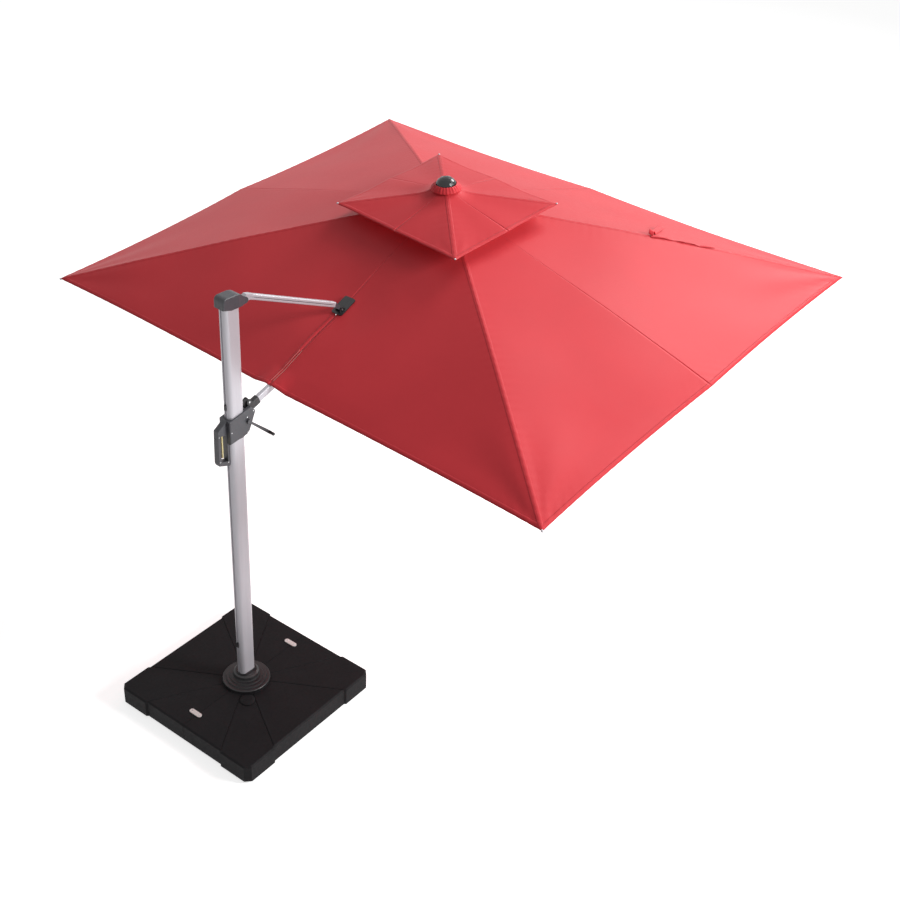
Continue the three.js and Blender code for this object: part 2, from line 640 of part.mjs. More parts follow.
// A plate over the cloth with two ears for the arm, on a pedestal that stands on a saddle round the boom.
function makeBracket() {
  const under = -roofGap + BRACKET.lift;
  const plate = raise(
    roundRect(BRACKET.back + BRACKET.front, 2 * BRACKET.halfWidth, BRACKET.round),
    under,
    under + BRACKET.thick,
  );
  plate.translate((BRACKET.front - BRACKET.back) / 2, 0, 0);
  const ear = new THREE.Shape();
  ear.absarc(0, 0, BRACKET.ear, 0, PI);
  ear.lineTo(-BRACKET.ear - 8, under + 1);
  ear.lineTo(BRACKET.ear + 14, under + 1);
  const ears = [plank(ear, BRACKET_EAR.inner, BRACKET_EAR.outer), plank(ear, -BRACKET_EAR.outer, -BRACKET_EAR.inner)];
  const top = turnedY(join(plate, ...ears), -roofOnBoom).translate(boomPivotX, 0, boomPivotZ);
  const saddleTop = -BOOM_DROP + BOOM.height / 2 + SEAT + SADDLE.wall;
  const saddleSide = BOOM.width / 2 + SEAT + SADDLE.wall;
  const { halfLength, skirt } = SADDLE;
  const ends = [boomPivotX - halfLength, boomPivotX + halfLength];
  const saddle = box(...ends, -saddleSide, saddleSide, -BOOM_DROP - skirt, saddleTop);
  const foot = [boomPivotX - PEDESTAL.halfLength, boomPivotX + PEDESTAL.halfLength];
  const pedestalTop = boomPivotZ + under - tan(roofOnBoom) * PEDESTAL.halfLength + BRACKET.thick - 1;
  const pedestal = box(...foot, -PEDESTAL.halfWidth, PEDESTAL.halfWidth, saddleTop - 1, pedestalTop);
  const bore = along(boomOutline(SEAT), 0, boomPivotX + 200, 3).translate(0, 0, -BOOM_DROP);
  const open = box(
    0,
    boomPivotX + 200,
    -BOOM.width / 2 - SEAT,
    BOOM.width / 2 + SEAT,
    -BOOM_DROP - 60,
    -BOOM_DROP,
  );
  const pinHole = barY(BRACKET_PIN_RADIUS + PIN_FIT, boomPivotX, boomPivotZ, -CUT_REACH, CUT_REACH, 12);
  return cut(join(top, pedestal, cut(saddle, bore, open)), pinHole);
}

// ======== Slider: two shells round a liner, with the boom's lug, the grip and the crank ========
function makeSlider() {
  const slider = group(model, 0, 0, LOCK.top);
  const lift = pivotZ - LOCK.top;
  const sleeveTop = 140;
  const cavity = raise(mastOutline(SLIDE + LINER.wall + SEAT), -200, sleeveTop);
  const well = box(SHELL.wellFront, 200, -SHELL.wellHalf, SHELL.wellHalf, -200, sleeveTop);
  const lugWay = box(0, 200, -LUG_HALF - SEAT, LUG_HALF + SEAT, lift - 80, sleeveTop);
  const behindMast = box(
    -halfMast - SLIDE - 1,
    0,
    -SHELL.halfWidth,
    SHELL.halfWidth,
    -FAR,
    SLIDER_BODY[0][1],
  );
  const pinHole = barX(LOCK_PIN.radius + PIN_FIT, 0, 0, -130, 0);
  const window = plank(polygon(HANDLE_WINDOW), -2 * HANDLE_HALF, 2 * HANDLE_HALF);
  const headRoom = LEVER.pinRadius + 5;
  const pocket = box(
    LEVER.x - LEVER.thick / 2 - LEVER.play,
    LEVER.x + LEVER.thick / 2 + LEVER.play,
    -LEVER.half - SLIDE,
    LEVER.half + SLIDE,
    0,
    LEVER.pivot + headRoom,
  );
  const bay = box(LEVER.x - LEVER.bay, LEVER.x, -LEVER.half - SLIDE, LEVER.half + SLIDE, LEVER.foot - 4, 0);
  const leverHole = barY(
    LEVER.pinRadius + PIN_FIT,
    LEVER.x,
    LEVER.pivot,
    -LEVER.pinHalf - SEAT,
    LEVER.pinHalf + SEAT,
    12,
  );
  const spindleHole = barY(
    CRANK_HUB.spindle + PIN_FIT,
    CRANK.x,
    CRANK.z,
    -60,
    -SHELL.halfWidth + CRANK_HUB.spindleDepth,
  );
  for (const [side, name] of [[1, "left"], [-1, "right"]]) {
    const body = housing(polygon(SLIDER_BODY), SEAT / 2, SHELL.halfWidth, SHELL.bevel, side);
    const handle = housing(polygon(HANDLE_LOOP), SEAT / 2, HANDLE_HALF, SHELL.bevel / 2, side);
    const shell = cut(
      join(body, handle),
      window,
      cavity,
      well,
      lugWay,
      pinHole,
      pocket,
      bay,
      leverHole,
      spindleHole,
    );
    add(slider, `slider_shell_${name}`, cut(shell, behindMast), TRIM());
  }

  const outer = raise(mastOutline(SLIDE + LINER.wall), LINER.from, LINER.to);
  const lug = new THREE.Shape();
  const front = halfMast + SLIDE + LINER.wall - 1;
  lug.moveTo(front, lift - 76);
  lug.lineTo(front + 3, lift - 76);
  lug.lineTo(PIVOT_X - 22, lift - 24);
  lug.absarc(PIVOT_X, lift, LUG_HUB, -0.6 * PI, 0.5 * PI);
  lug.lineTo(front, lift + 6);
  const sleeve = join(outer, plank(lug, -LUG_HALF, LUG_HALF));
  const bore = raise(mastOutline(SLIDE), LINER.from - 1, lift + 60);
  const lugHole = barY(HEAD_PIN_RADIUS + PIN_FIT, PIVOT_X, lift, -CUT_REACH, CUT_REACH);
  add(slider, "slider_liner", cut(sleeve, bore, pinHole, lugHole), BLACK());
  const pinHalf = BOOM.width / 2 + COLLAR.wall + 2;
  add(slider, "slider_pin", barY(HEAD_PIN_RADIUS, PIVOT_X, lift, -pinHalf, pinHalf), STEEL());

  makeLever(slider);
  makeCrank(slider);
}

// The squeeze lever inside the grip, hung from its pin, and the pin that it pulls out of the track.
function makeLever(slider) {
  const grip = new THREE.Shape();
  const half = LEVER.thick / 2;
  grip.moveTo(-half, 0);
  grip.absarc(0, 0, half, PI, 0, true);
  grip.quadraticCurveTo(half + 3, (LEVER.foot - LEVER.pivot) / 2, half, LEVER.foot - LEVER.pivot);
  grip.lineTo(-half + 2, LEVER.foot - LEVER.pivot);
  grip.quadraticCurveTo(-half + 3, (LEVER.foot - LEVER.pivot) / 2, -half, 0);
  const bar = plank(grip, -LEVER.half, LEVER.half);
  const pin = barY(LEVER.pinRadius, 0, 0, -LEVER.pinHalf, LEVER.pinHalf, 12);
  const slot = box(
    -20,
    20,
    -LOCK_PIN.radius + 1 - SEAT,
    LOCK_PIN.radius - 1 + SEAT,
    -LEVER.pivot - 6,
    -LEVER.pivot + 6,
  );
  const lever = group(slider, LEVER.x, 0, LEVER.pivot);
  add(lever, "grip_lever", cut(join(bar, pin), slot), CREAM());

  const shaft = barX(LOCK_PIN.radius, 0, 0, LEVER.x + half + 3.5, LOCK_PIN.tip);
  const neck = barX(LOCK_PIN.radius - 1, 0, 0, LEVER.x - half - 3, LEVER.x + half + 4);
  add(slider, "lock_pin", join(shaft, neck), STEEL());
}

function makeCrank(slider) {
  const crank = group(slider, CRANK.x, -SHELL.halfWidth - CRANK_HUB.gap, CRANK.z);
  crank.rotation.y = CRANK.angle;
  const outline = new THREE.Shape();
  const root = CRANK.rootWidth / 2;
  const tip = CRANK.tipWidth / 2;
  outline.absarc(0, 0, CRANK_HUB.radius, PI * 0.2, PI * 1.8);
  outline.lineTo(CRANK_HUB.radius + 6, -root);
  outline.lineTo(CRANK.reach - 20, -tip);
  outline.absarc(CRANK.reach, 0, tip, -PI / 2, PI / 2);
  outline.lineTo(CRANK.reach - 20, tip);
  outline.lineTo(CRANK_HUB.radius + 6, root);
  const arm = plank(outline, -CRANK.thick, 0);
  const spindle = barY(CRANK_HUB.spindle, 0, 0, -1, CRANK_HUB.spindleDepth + CRANK_HUB.gap - SEAT);
  const knobPin = barY(KNOB.pin, CRANK.reach, 0, -CRANK.thick - KNOB.length + 4, -CRANK.thick + 1);
  add(crank, "crank_arm", join(arm, spindle, knobPin), TRIM());
  const knob = turned([
    [KNOB.pin + PIN_FIT, SEAT],
    [KNOB.radius - 2, SEAT],
    [KNOB.radius, 4],
    [KNOB.radius - 1, KNOB.length / 2],
    [KNOB.radius, KNOB.length - 4],
    [KNOB.radius - 2, KNOB.length],
    [0, KNOB.length],
    [0, KNOB.length - 3],
    [KNOB.pin + PIN_FIT, KNOB.length - 3],
    [KNOB.pin + PIN_FIT, SEAT],
  ], 20);
  add(crank, "crank_knob", turnedX(knob, PI / 2).translate(CRANK.reach, -CRANK.thick, 0), BLACK());
}

// ======== Canopy frame ========
const cornerTurn = atan2(CANOPY.halfV, CANOPY.halfU);
const cornerReach = hypot(CANOPY.halfU, CANOPY.halfV);
const ribPlan = [
  { turn: 0, reach: CANOPY.halfU, raise: MID_RAISE.u, side: 0 },
  { turn: cornerTurn, reach: cornerReach, raise: 0, side: 0 },
  { turn: PI / 2, reach: CANOPY.halfV, raise: MID_RAISE.v, side: 0 },
  { turn: PI - cornerTurn, reach: cornerReach, raise: 0, side: 0 },
  { turn: PI, reach: CANOPY.halfU, raise: MID_RAISE.u, side: -MAST_RIB_SIDE },
  { turn: PI + cornerTurn, reach: cornerReach, raise: 0, side: 0 },
  { turn: 1.5 * PI, reach: CANOPY.halfV, raise: MID_RAISE.v, side: 0 },
  { turn: 2 * PI - cornerTurn, reach: cornerReach, raise: 0, side: 0 },
];
const runnerHeight = FOLD.pivotHeight - 2 * FOLD.link * sin(FOLD.start);

function ribSection(grow) {
  const x = RIB.width / 2 + grow;
  const y = RIB.height / 2 + grow;
  const b = RIB.bevel + grow / 2;
  return [[x, b - y], [x, y - b], [x - b, y], [b - x, y], [-x, y - b], [-x, b - y], [b - x, -y], [x - b, -y]];
}

// A rib along +X from its pivot, with the lug and pin of its strut below it.
function ribBody(slope, reach, raiseAtTip) {
  const length = hypot(reach - FOLD.pivotRadius, FOLD.pivotHeight - raiseAtTip + RIB.drop) - RIB.tipInset;
  const half = RIB.height / 2;
  const section = polygon(ribSection(0));
  section.holes.push(polygon(ribSection(-RIB.wall)));
  const tube = along(section, RIB.root - 5, length);
  const root = new THREE.Shape();
  root.absarc(0, 0, half - 1, PI / 2, 1.5 * PI);
  root.lineTo(RIB.root, 1 - half);
  root.lineTo(RIB.root, half - 1);
  const plug = plank(root, -RIB.width / 2 + 1, RIB.width / 2 - 1);
  const x = FOLD.link * cos(FOLD.start - slope);
  const z = -FOLD.link * sin(FOLD.start - slope);
  const lug = new THREE.Shape();
  lug.absarc(x, z, STRUT.lug, PI, 2 * PI);
  lug.lineTo(x + 2 * STRUT.lug, 0);
  lug.lineTo(x - 2 * STRUT.lug, 0);
  const cheek = plank(lug, -RIB.width / 2, RIB.width / 2);
  const pin = barY(STRUT.pin, x, z, -STRUT.side - STRUT.width / 2 - 1.5, 1 - RIB.width / 2, 8);
  return cut(join(tube, plug, cheek, pin), barY(RIB_PIN + PIN_FIT, 0, 0, -50, 50, 10));
}

function strutBody() {
  const bar = new THREE.Shape();
  bar.absarc(0, 0, STRUT.height / 2, PI / 2, 1.5 * PI);
  bar.absarc(FOLD.link, 0, STRUT.height / 2, -PI / 2, PI / 2);
  const near = -STRUT.side - STRUT.width / 2;
  const far = -STRUT.side + STRUT.width / 2;
  const holes = [0, FOLD.link].map((x) => barY(STRUT.pin + PIN_FIT, x, 0, -50, 50, 10));
  return cut(plank(bar, near, far, 4), ...holes);
}

function makeRibs(canopy) {
  ribPlan.forEach(({ turn, reach, raise: raised, side }, i) => {
    const radial = group(canopy);
    radial.rotation.z = turn;
    const pivot = group(radial, FOLD.pivotRadius, side, FOLD.pivotHeight);
    const slope = atan2(FOLD.pivotHeight - raised + RIB.drop, reach - FOLD.pivotRadius);
    add(pivot, `rib_${i + 1}`, ribBody(slope, reach, raised), METAL()).rotation.y = slope;
    const runnerEnd = group(radial, FOLD.pivotRadius, side, runnerHeight);
    add(runnerEnd, `strut_${i + 1}`, strutBody(), METAL()).rotation.y = -FOLD.start;
  });
}

// A disc with a slot and a cross pin for each rib or strut.
function slottedDisc({ radius, thick, slotStart, slotHalf }, pinRadius, offset, height) {
  const disc = barZ(radius, height - thick / 2, height + thick / 2, 32);
  const blocks = [];
  const slots = [];
  const pins = [];
  for (const { turn, side } of ribPlan) {
    const y = side + offset;
    if (side !== 0) {
      const block = box(
        radius - 34,
        radius,
        y - slotHalf - 7,
        y + slotHalf + 7,
        height - thick / 2,
        height + thick / 2,
      );
      blocks.push(turnedZ(block, turn));
    }
    slots.push(turnedZ(box(slotStart, radius + 40, y - slotHalf, y + slotHalf, height - thick, height + thick), turn));
    pins.push(turnedZ(barY(pinRadius, FOLD.pivotRadius, height, y - slotHalf - 2, y + slotHalf + 2, 8), turn));
  }
  return join(cut(join(disc, ...blocks), ...slots), ...pins);
}

function makeHub(canopy) {
  const toCanopy = canopyPlace.clone().invert().multiply(boomPlace);
  const wall = HUB_SLEEVE.wall;
  const outline = roundRect(BOOM.width + 2 * wall, BOOM.height + 2 * wall, BOOM.round);
  const sleeve = along(outline, boomHub - HUB_SLEEVE.back, boomHub + HUB_SLEEVE.front, 3);
  const bore = along(boomOutline(SEAT), boomHub - HUB_SLEEVE.back - 1, boomEnd + SEAT, 3);
  const place = (geometry) => geometry.translate(0, 0, -BOOM_DROP).applyMatrix4(toCanopy);
  const crownSeat = FOLD.pivotHeight + CROWN.thick / 2 - 6;
  const neck = barZ(HUB.neckRadius, HUB.boomCross, crownSeat, 20);
  const stem = barZ(HUB.stemRadius, HUB.stemFoot, HUB.boomCross, 20);
  add(canopy, "hub_block", cut(join(place(sleeve), neck, stem), place(bore)), BLACK());

  const disc = slottedDisc(CROWN, RIB_PIN, 0, FOLD.pivotHeight);
  const post = barZ(POST.radius, FOLD.pivotHeight, postTop, 20);
  const arms = [];
  const slots = [];
  const pins = [];
  const low = spiderZ - SPIDER.thick / 2;
  const high = spiderZ + SPIDER.thick / 2;
  for (const { turn } of ventCorners) {
    arms.push(turnedZ(box(0, SPIDER.radius, -SPIDER.width / 2, SPIDER.width / 2, low, high), turn));
    slots.push(turnedZ(box(SPIDER.slotStart, 2 * SPIDER.radius, -SPIDER.slotHalf, SPIDER.slotHalf, low - 1, high + 1), turn));
    pins.push(turnedZ(barY(SPIDER.pin, SPIDER.pivot, spiderZ, -SPIDER.slotHalf - 2, SPIDER.slotHalf + 2, 6), turn));
  }
  const spider = join(cut(join(arms[0], ...arms.slice(1)), ...slots), ...pins);
  const socket = barZ(HUB.neckRadius + SEAT, FOLD.pivotHeight - 40, crownSeat + SEAT, 20);
  add(canopy, "hub_crown", cut(join(disc, post, spider), socket), BLACK());

  const dome = [];
  for (let i = 0; i <= 5; i += 1) {
    const turn = (i * PI) / 10;
    dome.push([FINIAL.radius * cos(turn), finialSeat + FINIAL.rim + (FINIAL.height - FINIAL.rim) * sin(turn)]);
  }
  const finial = turned([
    [0, socketTop],
    [POST.radius + SEAT, socketTop],
    [POST.radius + SEAT, finialSeat + FINIAL.skirt],
    [FINIAL.radius - 2, finialSeat],
    ...dome.slice(0, -1),
    [0, finialSeat + FINIAL.height],
  ], 28);
  add(canopy, "finial", finial, BLACK());
  const runner = slottedDisc(RUNNER, STRUT.pin, -STRUT.side, runnerHeight);
  add(canopy, "runner", cut(runner, barZ(HUB.stemRadius + SLIDE, 0, FOLD.pivotHeight, 20)), BLACK());
}

function makeVentRods(canopy) {
  ventCorners.forEach(({ turn, reach, height }, i) => {
    const fall = spiderZ - (height - VENT_ROD.drop);
    const run = reach - SPIDER.pivot;
    const length = hypot(fall, run) - VENT_ROD.inset;
    const rod = turnedZ(new THREE.CylinderGeometry(VENT_ROD.radius, VENT_ROD.radius, length, 8), -PI / 2);
    const eye = barY(VENT_ROD.root, 0, 0, -VENT_ROD.radius, VENT_ROD.radius, 12);
    const hole = barY(SPIDER.pin + PIN_FIT, 0, 0, -SPIDER.width, SPIDER.width, 8);
    const radial = group(canopy);
    radial.rotation.z = turn;
    const pivot = group(radial, SPIDER.pivot, 0, spiderZ);
    const body = cut(join(rod.translate(length / 2, 0, 0), eye), hole);
    add(pivot, `vent_rod_${i + 1}`, body, METAL()).rotation.y = atan2(fall, run);
  });
}

// ======== Cloth ========
// A sheet of even thickness under a set of faces, given by corner points and the corners of each face.
function sheet(points, faces, thick) {
  const positions = [];
  const count = points.length;
  for (const drop of [0, thick]) {
    for (const [x, y, z] of points) {
      positions.push(x, y, z - drop);
    }
  }
  const index = [];
  const open = new Map();
  for (const face of faces) {
    for (let i = 1; i < face.length - 1; i += 1) {
      index.push(face[0], face[i], face[i + 1]);
      index.push(face[0] + count, face[i + 1] + count, face[i] + count);
    }
    face.forEach((from, i) => {
      const to = face[(i + 1) % face.length];
      if (!open.delete(`${to} ${from}`)) open.set(`${from} ${to}`, [from, to]);
    });
  }
  for (const [from, to] of open.values()) {
    index.push(from, from + count, to + count, from, to + count, to);
  }
  const geometry = new THREE.BufferGeometry();
  geometry.setAttribute("position", new THREE.Float32BufferAttribute(positions, 3));
  geometry.setIndex(index);
  return geometry;
}

// One panel of the roof, from corner rib to corner rib, drawn for the side at +X.
function roofPanel(reach, halfSpan, raised, openReach, openSpan) {
  const share = openReach / reach;
  const corner = CANOPY.apex * (1 - share);
  const middle = CANOPY.apex - (CANOPY.apex - raised) * share;
  const span = halfSpan - SEAM_GAP;
  const open = openSpan - SEAM_GAP;
  const points = [
    [openReach, -open, corner],
    [reach, -span, 0],
    [reach, 0, raised],
    [openReach, 0, middle],
    [reach, span, 0],
    [openReach, open, corner],
  ];
  return sheet(points, [[0, 1, 2, 3], [3, 2, 4, 5]], CLOTH);
}

function makeCloth(canopy) {
  const { halfU, halfV } = CANOPY;
  const alongBoom = roofPanel(halfU, halfV, MID_RAISE.u, VENT_OPENING_U, openingV);
  const across = roofPanel(halfV, halfU, MID_RAISE.v, openingV, VENT_OPENING_U);
  const notch = box(-halfU - 50, -halfU + SLIT.notch, -SLIT.notchHalf, SLIT.notchHalf, -100, CANOPY.apex);
  const slit = box(-halfU - 50, bracketU - SLIT.pedestal, -SLIT.half, SLIT.half, -100, CANOPY.apex);
  const gate = box(
    bracketU - SLIT.pedestal,
    bracketU + SLIT.pedestal,
    -SLIT.gateHalf,
    SLIT.gateHalf,
    -100,
    CANOPY.apex,
  );
  add(canopy, "canopy_panel_front", alongBoom, CLOTH_RED());
  add(canopy, "canopy_panel_left", turnedZ(across, PI / 2), CLOTH_RED());
  add(canopy, "canopy_panel_mast", cut(turnedZ(alongBoom, PI), notch, slit, gate), CLOTH_RED());
  add(canopy, "canopy_panel_right", turnedZ(across, -PI / 2), CLOTH_RED());

  const fall = VENT.corner - VENT.apex;
  const corners = [[1, 1], [-1, 1], [-1, -1], [1, -1]].map(([a, b]) => [a * VENT.halfU, b * VENT.halfV, fall]);
  const faces = [[4, 0, 1], [4, 1, 2], [4, 2, 3], [4, 3, 0]];
  const vent = sheet([...corners, [0, 0, 0]], faces, CLOTH);
  const hole = barZ(POST.radius + 2, -CUT_REACH, CUT_REACH, 16);
  const roof = add(canopy, "vent_canopy", cut(vent, hole), CLOTH_RED());
  roof.applyMatrix4(ventPlace);
}

const canopyPlace = new THREE.Matrix4().makeRotationY(-CANOPY.tilt).setPosition(CANOPY.x, 0, CANOPY.z);
const boomPlace = new THREE.Matrix4().makeRotationY(-BOOM.slope).setPosition(PIVOT_X, 0, pivotZ);
const hubOnBoom = new THREE.Vector3(0, 0, HUB.boomCross).applyMatrix4(canopyPlace).applyMatrix4(boomPlace.clone().invert());
const boomHub = hubOnBoom.x; // where the canopy's axis crosses the boom
const boomEnd = boomHub - HUB.neckRadius - 2;
const bracketPoint = new THREE.Vector3(boomPivotX, 0, boomPivotZ).applyMatrix4(boomPlace);
bracketPoint.applyMatrix4(canopyPlace.clone().invert());
const bracketU = bracketPoint.x;
const roofSlope = atan2(CANOPY.apex - MID_RAISE.u, CANOPY.halfU);
const roofOnBoom = roofSlope + CANOPY.tilt - BOOM.slope;
const roofGap = (bracketPoint.z - CANOPY.apex - bracketU * tan(roofSlope)) * cos(roofSlope);
const ventPlace = new THREE.Matrix4().makeRotationFromEuler(new THREE.Euler(0, -VENT.tilt, VENT.turn));
ventPlace.setPosition(0, 0, VENT.apex);
const ventCorners = [[1, 1], [-1, 1], [-1, -1], [1, -1]].map(([a, b]) => {
  const point = new THREE.Vector3(a * VENT.halfU, b * VENT.halfV, VENT.corner - VENT.apex).applyMatrix4(ventPlace);
  return { turn: atan2(point.y, point.x), reach: hypot(point.x, point.y), height: point.z };
});

makeBase();
makeMast();
makeArm();
makeBoom();
makeSlider();
const canopyFrame = new THREE.Group();
canopyFrame.applyMatrix4(canopyPlace);
model.add(canopyFrame);
makeHub(canopyFrame);
makeRibs(canopyFrame);
makeVentRods(canopyFrame);
makeCloth(canopyFrame);

export default model;
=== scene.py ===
"""Looks of a cantilever patio umbrella on a filled base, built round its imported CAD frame.

Every length is in metres. The floor is z = 0, the mast stands on the z axis and the boom points along +X.
The canopy has a frame of its own: u along the boom, v across it, w square to the plane of the canopy's corners.
"""

from __future__ import annotations

import logging
import math
from collections.abc import Iterable, Sequence
from dataclasses import dataclass, field
from enum import Enum

import bmesh
import bpy
import numpy as np
from mathutils import Matrix, Vector
from mathutils.noise import noise as perlin


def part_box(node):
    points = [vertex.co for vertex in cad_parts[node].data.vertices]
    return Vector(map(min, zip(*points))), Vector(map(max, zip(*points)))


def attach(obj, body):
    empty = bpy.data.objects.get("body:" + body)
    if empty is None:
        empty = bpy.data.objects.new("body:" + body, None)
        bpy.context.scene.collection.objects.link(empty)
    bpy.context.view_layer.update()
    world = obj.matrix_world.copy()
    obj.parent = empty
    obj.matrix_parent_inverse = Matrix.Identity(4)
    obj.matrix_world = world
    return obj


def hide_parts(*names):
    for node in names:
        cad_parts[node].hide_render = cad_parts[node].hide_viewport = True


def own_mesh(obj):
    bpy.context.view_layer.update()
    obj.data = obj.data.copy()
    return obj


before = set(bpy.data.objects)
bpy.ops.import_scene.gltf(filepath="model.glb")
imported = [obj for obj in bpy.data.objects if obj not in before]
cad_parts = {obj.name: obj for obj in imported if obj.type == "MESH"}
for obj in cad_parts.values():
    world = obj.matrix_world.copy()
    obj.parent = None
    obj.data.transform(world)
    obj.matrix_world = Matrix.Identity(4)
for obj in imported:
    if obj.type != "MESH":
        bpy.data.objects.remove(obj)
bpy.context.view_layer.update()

LOG = logging.getLogger("umbrella")
MM = 0.001
WHITE = (1.0, 1.0, 1.0)


class Spread(Enum):
    """Where a pattern takes its coordinates from."""

    OBJECT = "Object"
    UV = "UV"


# ---------------------------------------------------------------- finishes


class Graph:
    """A material's node tree, with one short method for each kind of node that the finishes use."""

    def __init__(self, name: str) -> None:
        """Makes an empty material with one Principled BSDF.

        Args:
            name: the material's name.
        """
        self.material = bpy.data.materials.new(name)
        self.material.use_nodes = True
        self.tree = self.material.node_tree
        self.tree.nodes.clear()
        self.shader = self.tree.nodes.new("ShaderNodeBsdfPrincipled")
        output = self.tree.nodes.new("ShaderNodeOutputMaterial")
        self.tree.links.new(self.shader.outputs["BSDF"], output.inputs["Surface"])
        self.coordinates = self.tree.nodes.new("ShaderNodeTexCoord")

    def _feed(self, socket: bpy.types.NodeSocket, value: object) -> None:
        """Links a socket to another one, or sets its value."""
        if isinstance(value, bpy.types.NodeSocket):
            self.tree.links.new(value, socket)
        else:
            socket.default_value = value

    def shade(self, **values: object) -> None:
        """Sets or links inputs of the shader, by their names with underscores for spaces."""
        for name, value in values.items():
            self._feed(self.shader.inputs[name.replace("_", " ")], value)

    def space(self, scale: Sequence[float] = WHITE, spread: Spread = Spread.OBJECT) -> bpy.types.NodeSocket:
        """Coordinates on the piece.

        Args:
            scale: how often the pattern repeats in a metre, for each axis.
            spread: which coordinates are used.

        Returns:
            The coordinates' socket.
        """
        mapping = self.tree.nodes.new("ShaderNodeMapping")
        self.tree.links.new(self.coordinates.outputs[spread.value], mapping.inputs["Vector"])
        mapping.inputs["Scale"].default_value = scale
        return mapping.outputs["Vector"]

    def noise(
        self, scale: float, detail: float = 3.0, roughness: float = 0.55, vector: object = None
    ) -> bpy.types.NodeSocket:
        """A cloudy pattern from 0 to 1.

        Args:
            scale: how many clouds lie in a metre.
            detail: how many finer layers it has.
            roughness: how strong those layers are.
            vector: coordinates to use in place of the piece's own.

        Returns:
            The pattern's socket.
        """
        node = self.tree.nodes.new("ShaderNodeTexNoise")
        self.tree.links.new(vector or self.coordinates.outputs["Object"], node.inputs["Vector"])
        node.inputs["Scale"].default_value = scale
        node.inputs["Detail"].default_value = detail
        node.inputs["Roughness"].default_value = roughness
        return node.outputs["Fac"]

    def cells(self, scale: float, vector: object = None) -> bpy.types.NodeSocket:
        """Distance to the nearest of scattered points, for grain.

        Args:
            scale: how many points lie in a metre.
            vector: coordinates to use in place of the piece's own.

        Returns:
            The distance's socket.
        """
        node = self.tree.nodes.new("ShaderNodeTexVoronoi")
        self.tree.links.new(vector or self.coordinates.outputs["Object"], node.inputs["Vector"])
        node.inputs["Scale"].default_value = scale
        return node.outputs["Distance"]

    def waves(self, vector: object, axis: str, scale: float, shape: str = "SIN") -> bpy.types.NodeSocket:
        """Even bands across one axis.

        Args:
            vector: the coordinates.
            axis: X, Y or Z.
            scale: the wave's scale.
            shape: SIN, SAW or TRI.

        Returns:
            The bands' socket.
        """
        node = self.tree.nodes.new("ShaderNodeTexWave")
        node.wave_type = "BANDS"
        node.bands_direction = axis
        node.wave_profile = shape
        self.tree.links.new(vector, node.inputs["Vector"])
        node.inputs["Scale"].default_value = scale
        return node.outputs["Fac"]

    def attribute(self, name: str) -> bpy.types.NodeSocket:
        """A number kept on the piece's points."""
        node = self.tree.nodes.new("ShaderNodeAttribute")
        node.attribute_name = name
        return node.outputs["Fac"]

    def maths(self, operation: str, first: object, second: object = 0.0, third: object = 0.0) -> bpy.types.NodeSocket:
        """One step of arithmetic.

        Args:
            operation: the Math node's operation.
            first: its first value or socket.
            second: its second value or socket.
            third: its third value or socket.

        Returns:
            The result's socket.
        """
        node = self.tree.nodes.new("ShaderNodeMath")
        node.operation = operation
        for socket, value in zip(node.inputs, (first, second, third)):
            self._feed(socket, value)
        return node.outputs[0]

    def ramp(
        self, value: object, low: float, high: float, start: float = 0.0, end: float = 1.0
    ) -> bpy.types.NodeSocket:
        """Spreads a range of values over another, and stops at its ends.

        Args:
            value: the socket to spread.
            low: the value that gives start.
            high: the value that gives end.
            start: the first result.
            end: the last result.

        Returns:
            The result's socket.
        """
        node = self.tree.nodes.new("ShaderNodeMapRange")
        for socket, number in zip(node.inputs, (value, low, high, start, end)):
            self._feed(socket, number)
        return node.outputs[0]

    def mix(self, share: object, first: Sequence[float], second: object) -> bpy.types.NodeSocket:
        """Mixes two colours.

        Args:
            share: how much of the second colour is taken.
            first: the first colour or socket.
            second: the second colour or socket.

        Returns:
            The mixed colour's socket.
        """
        node = self.tree.nodes.new("ShaderNodeMix")
        node.data_type = "RGBA"
        colours = [socket for socket in node.inputs if socket.type == "RGBA"]
        self._feed(node.inputs["Factor"], share)
        for socket, colour in zip(colours, (first, second)):
            self._feed(socket, colour if isinstance(colour, bpy.types.NodeSocket) else (*colour[:3], 1.0))
        return next(socket for socket in node.outputs if socket.type == "RGBA")

    def bump(
        self, height: object, distance: float, strength: float = 1.0, before: object = None
    ) -> bpy.types.NodeSocket:
        """Turns a height pattern into a bumpy surface.

        Args:
            height: the pattern, from 0 to 1.
            distance: how high 1 stands, in metres.
            strength: how much of it shows.
            before: another bump's socket that this one adds to.

        Returns:
            The normal's socket.
        """
        node = self.tree.nodes.new("ShaderNodeBump")
        node.inputs["Strength"].default_value = strength
        node.inputs["Distance"].default_value = distance
        self.tree.links.new(height, node.inputs["Height"])
        if before is not None:
            self.tree.links.new(before, node.inputs["Normal"])
        return node.outputs["Normal"]


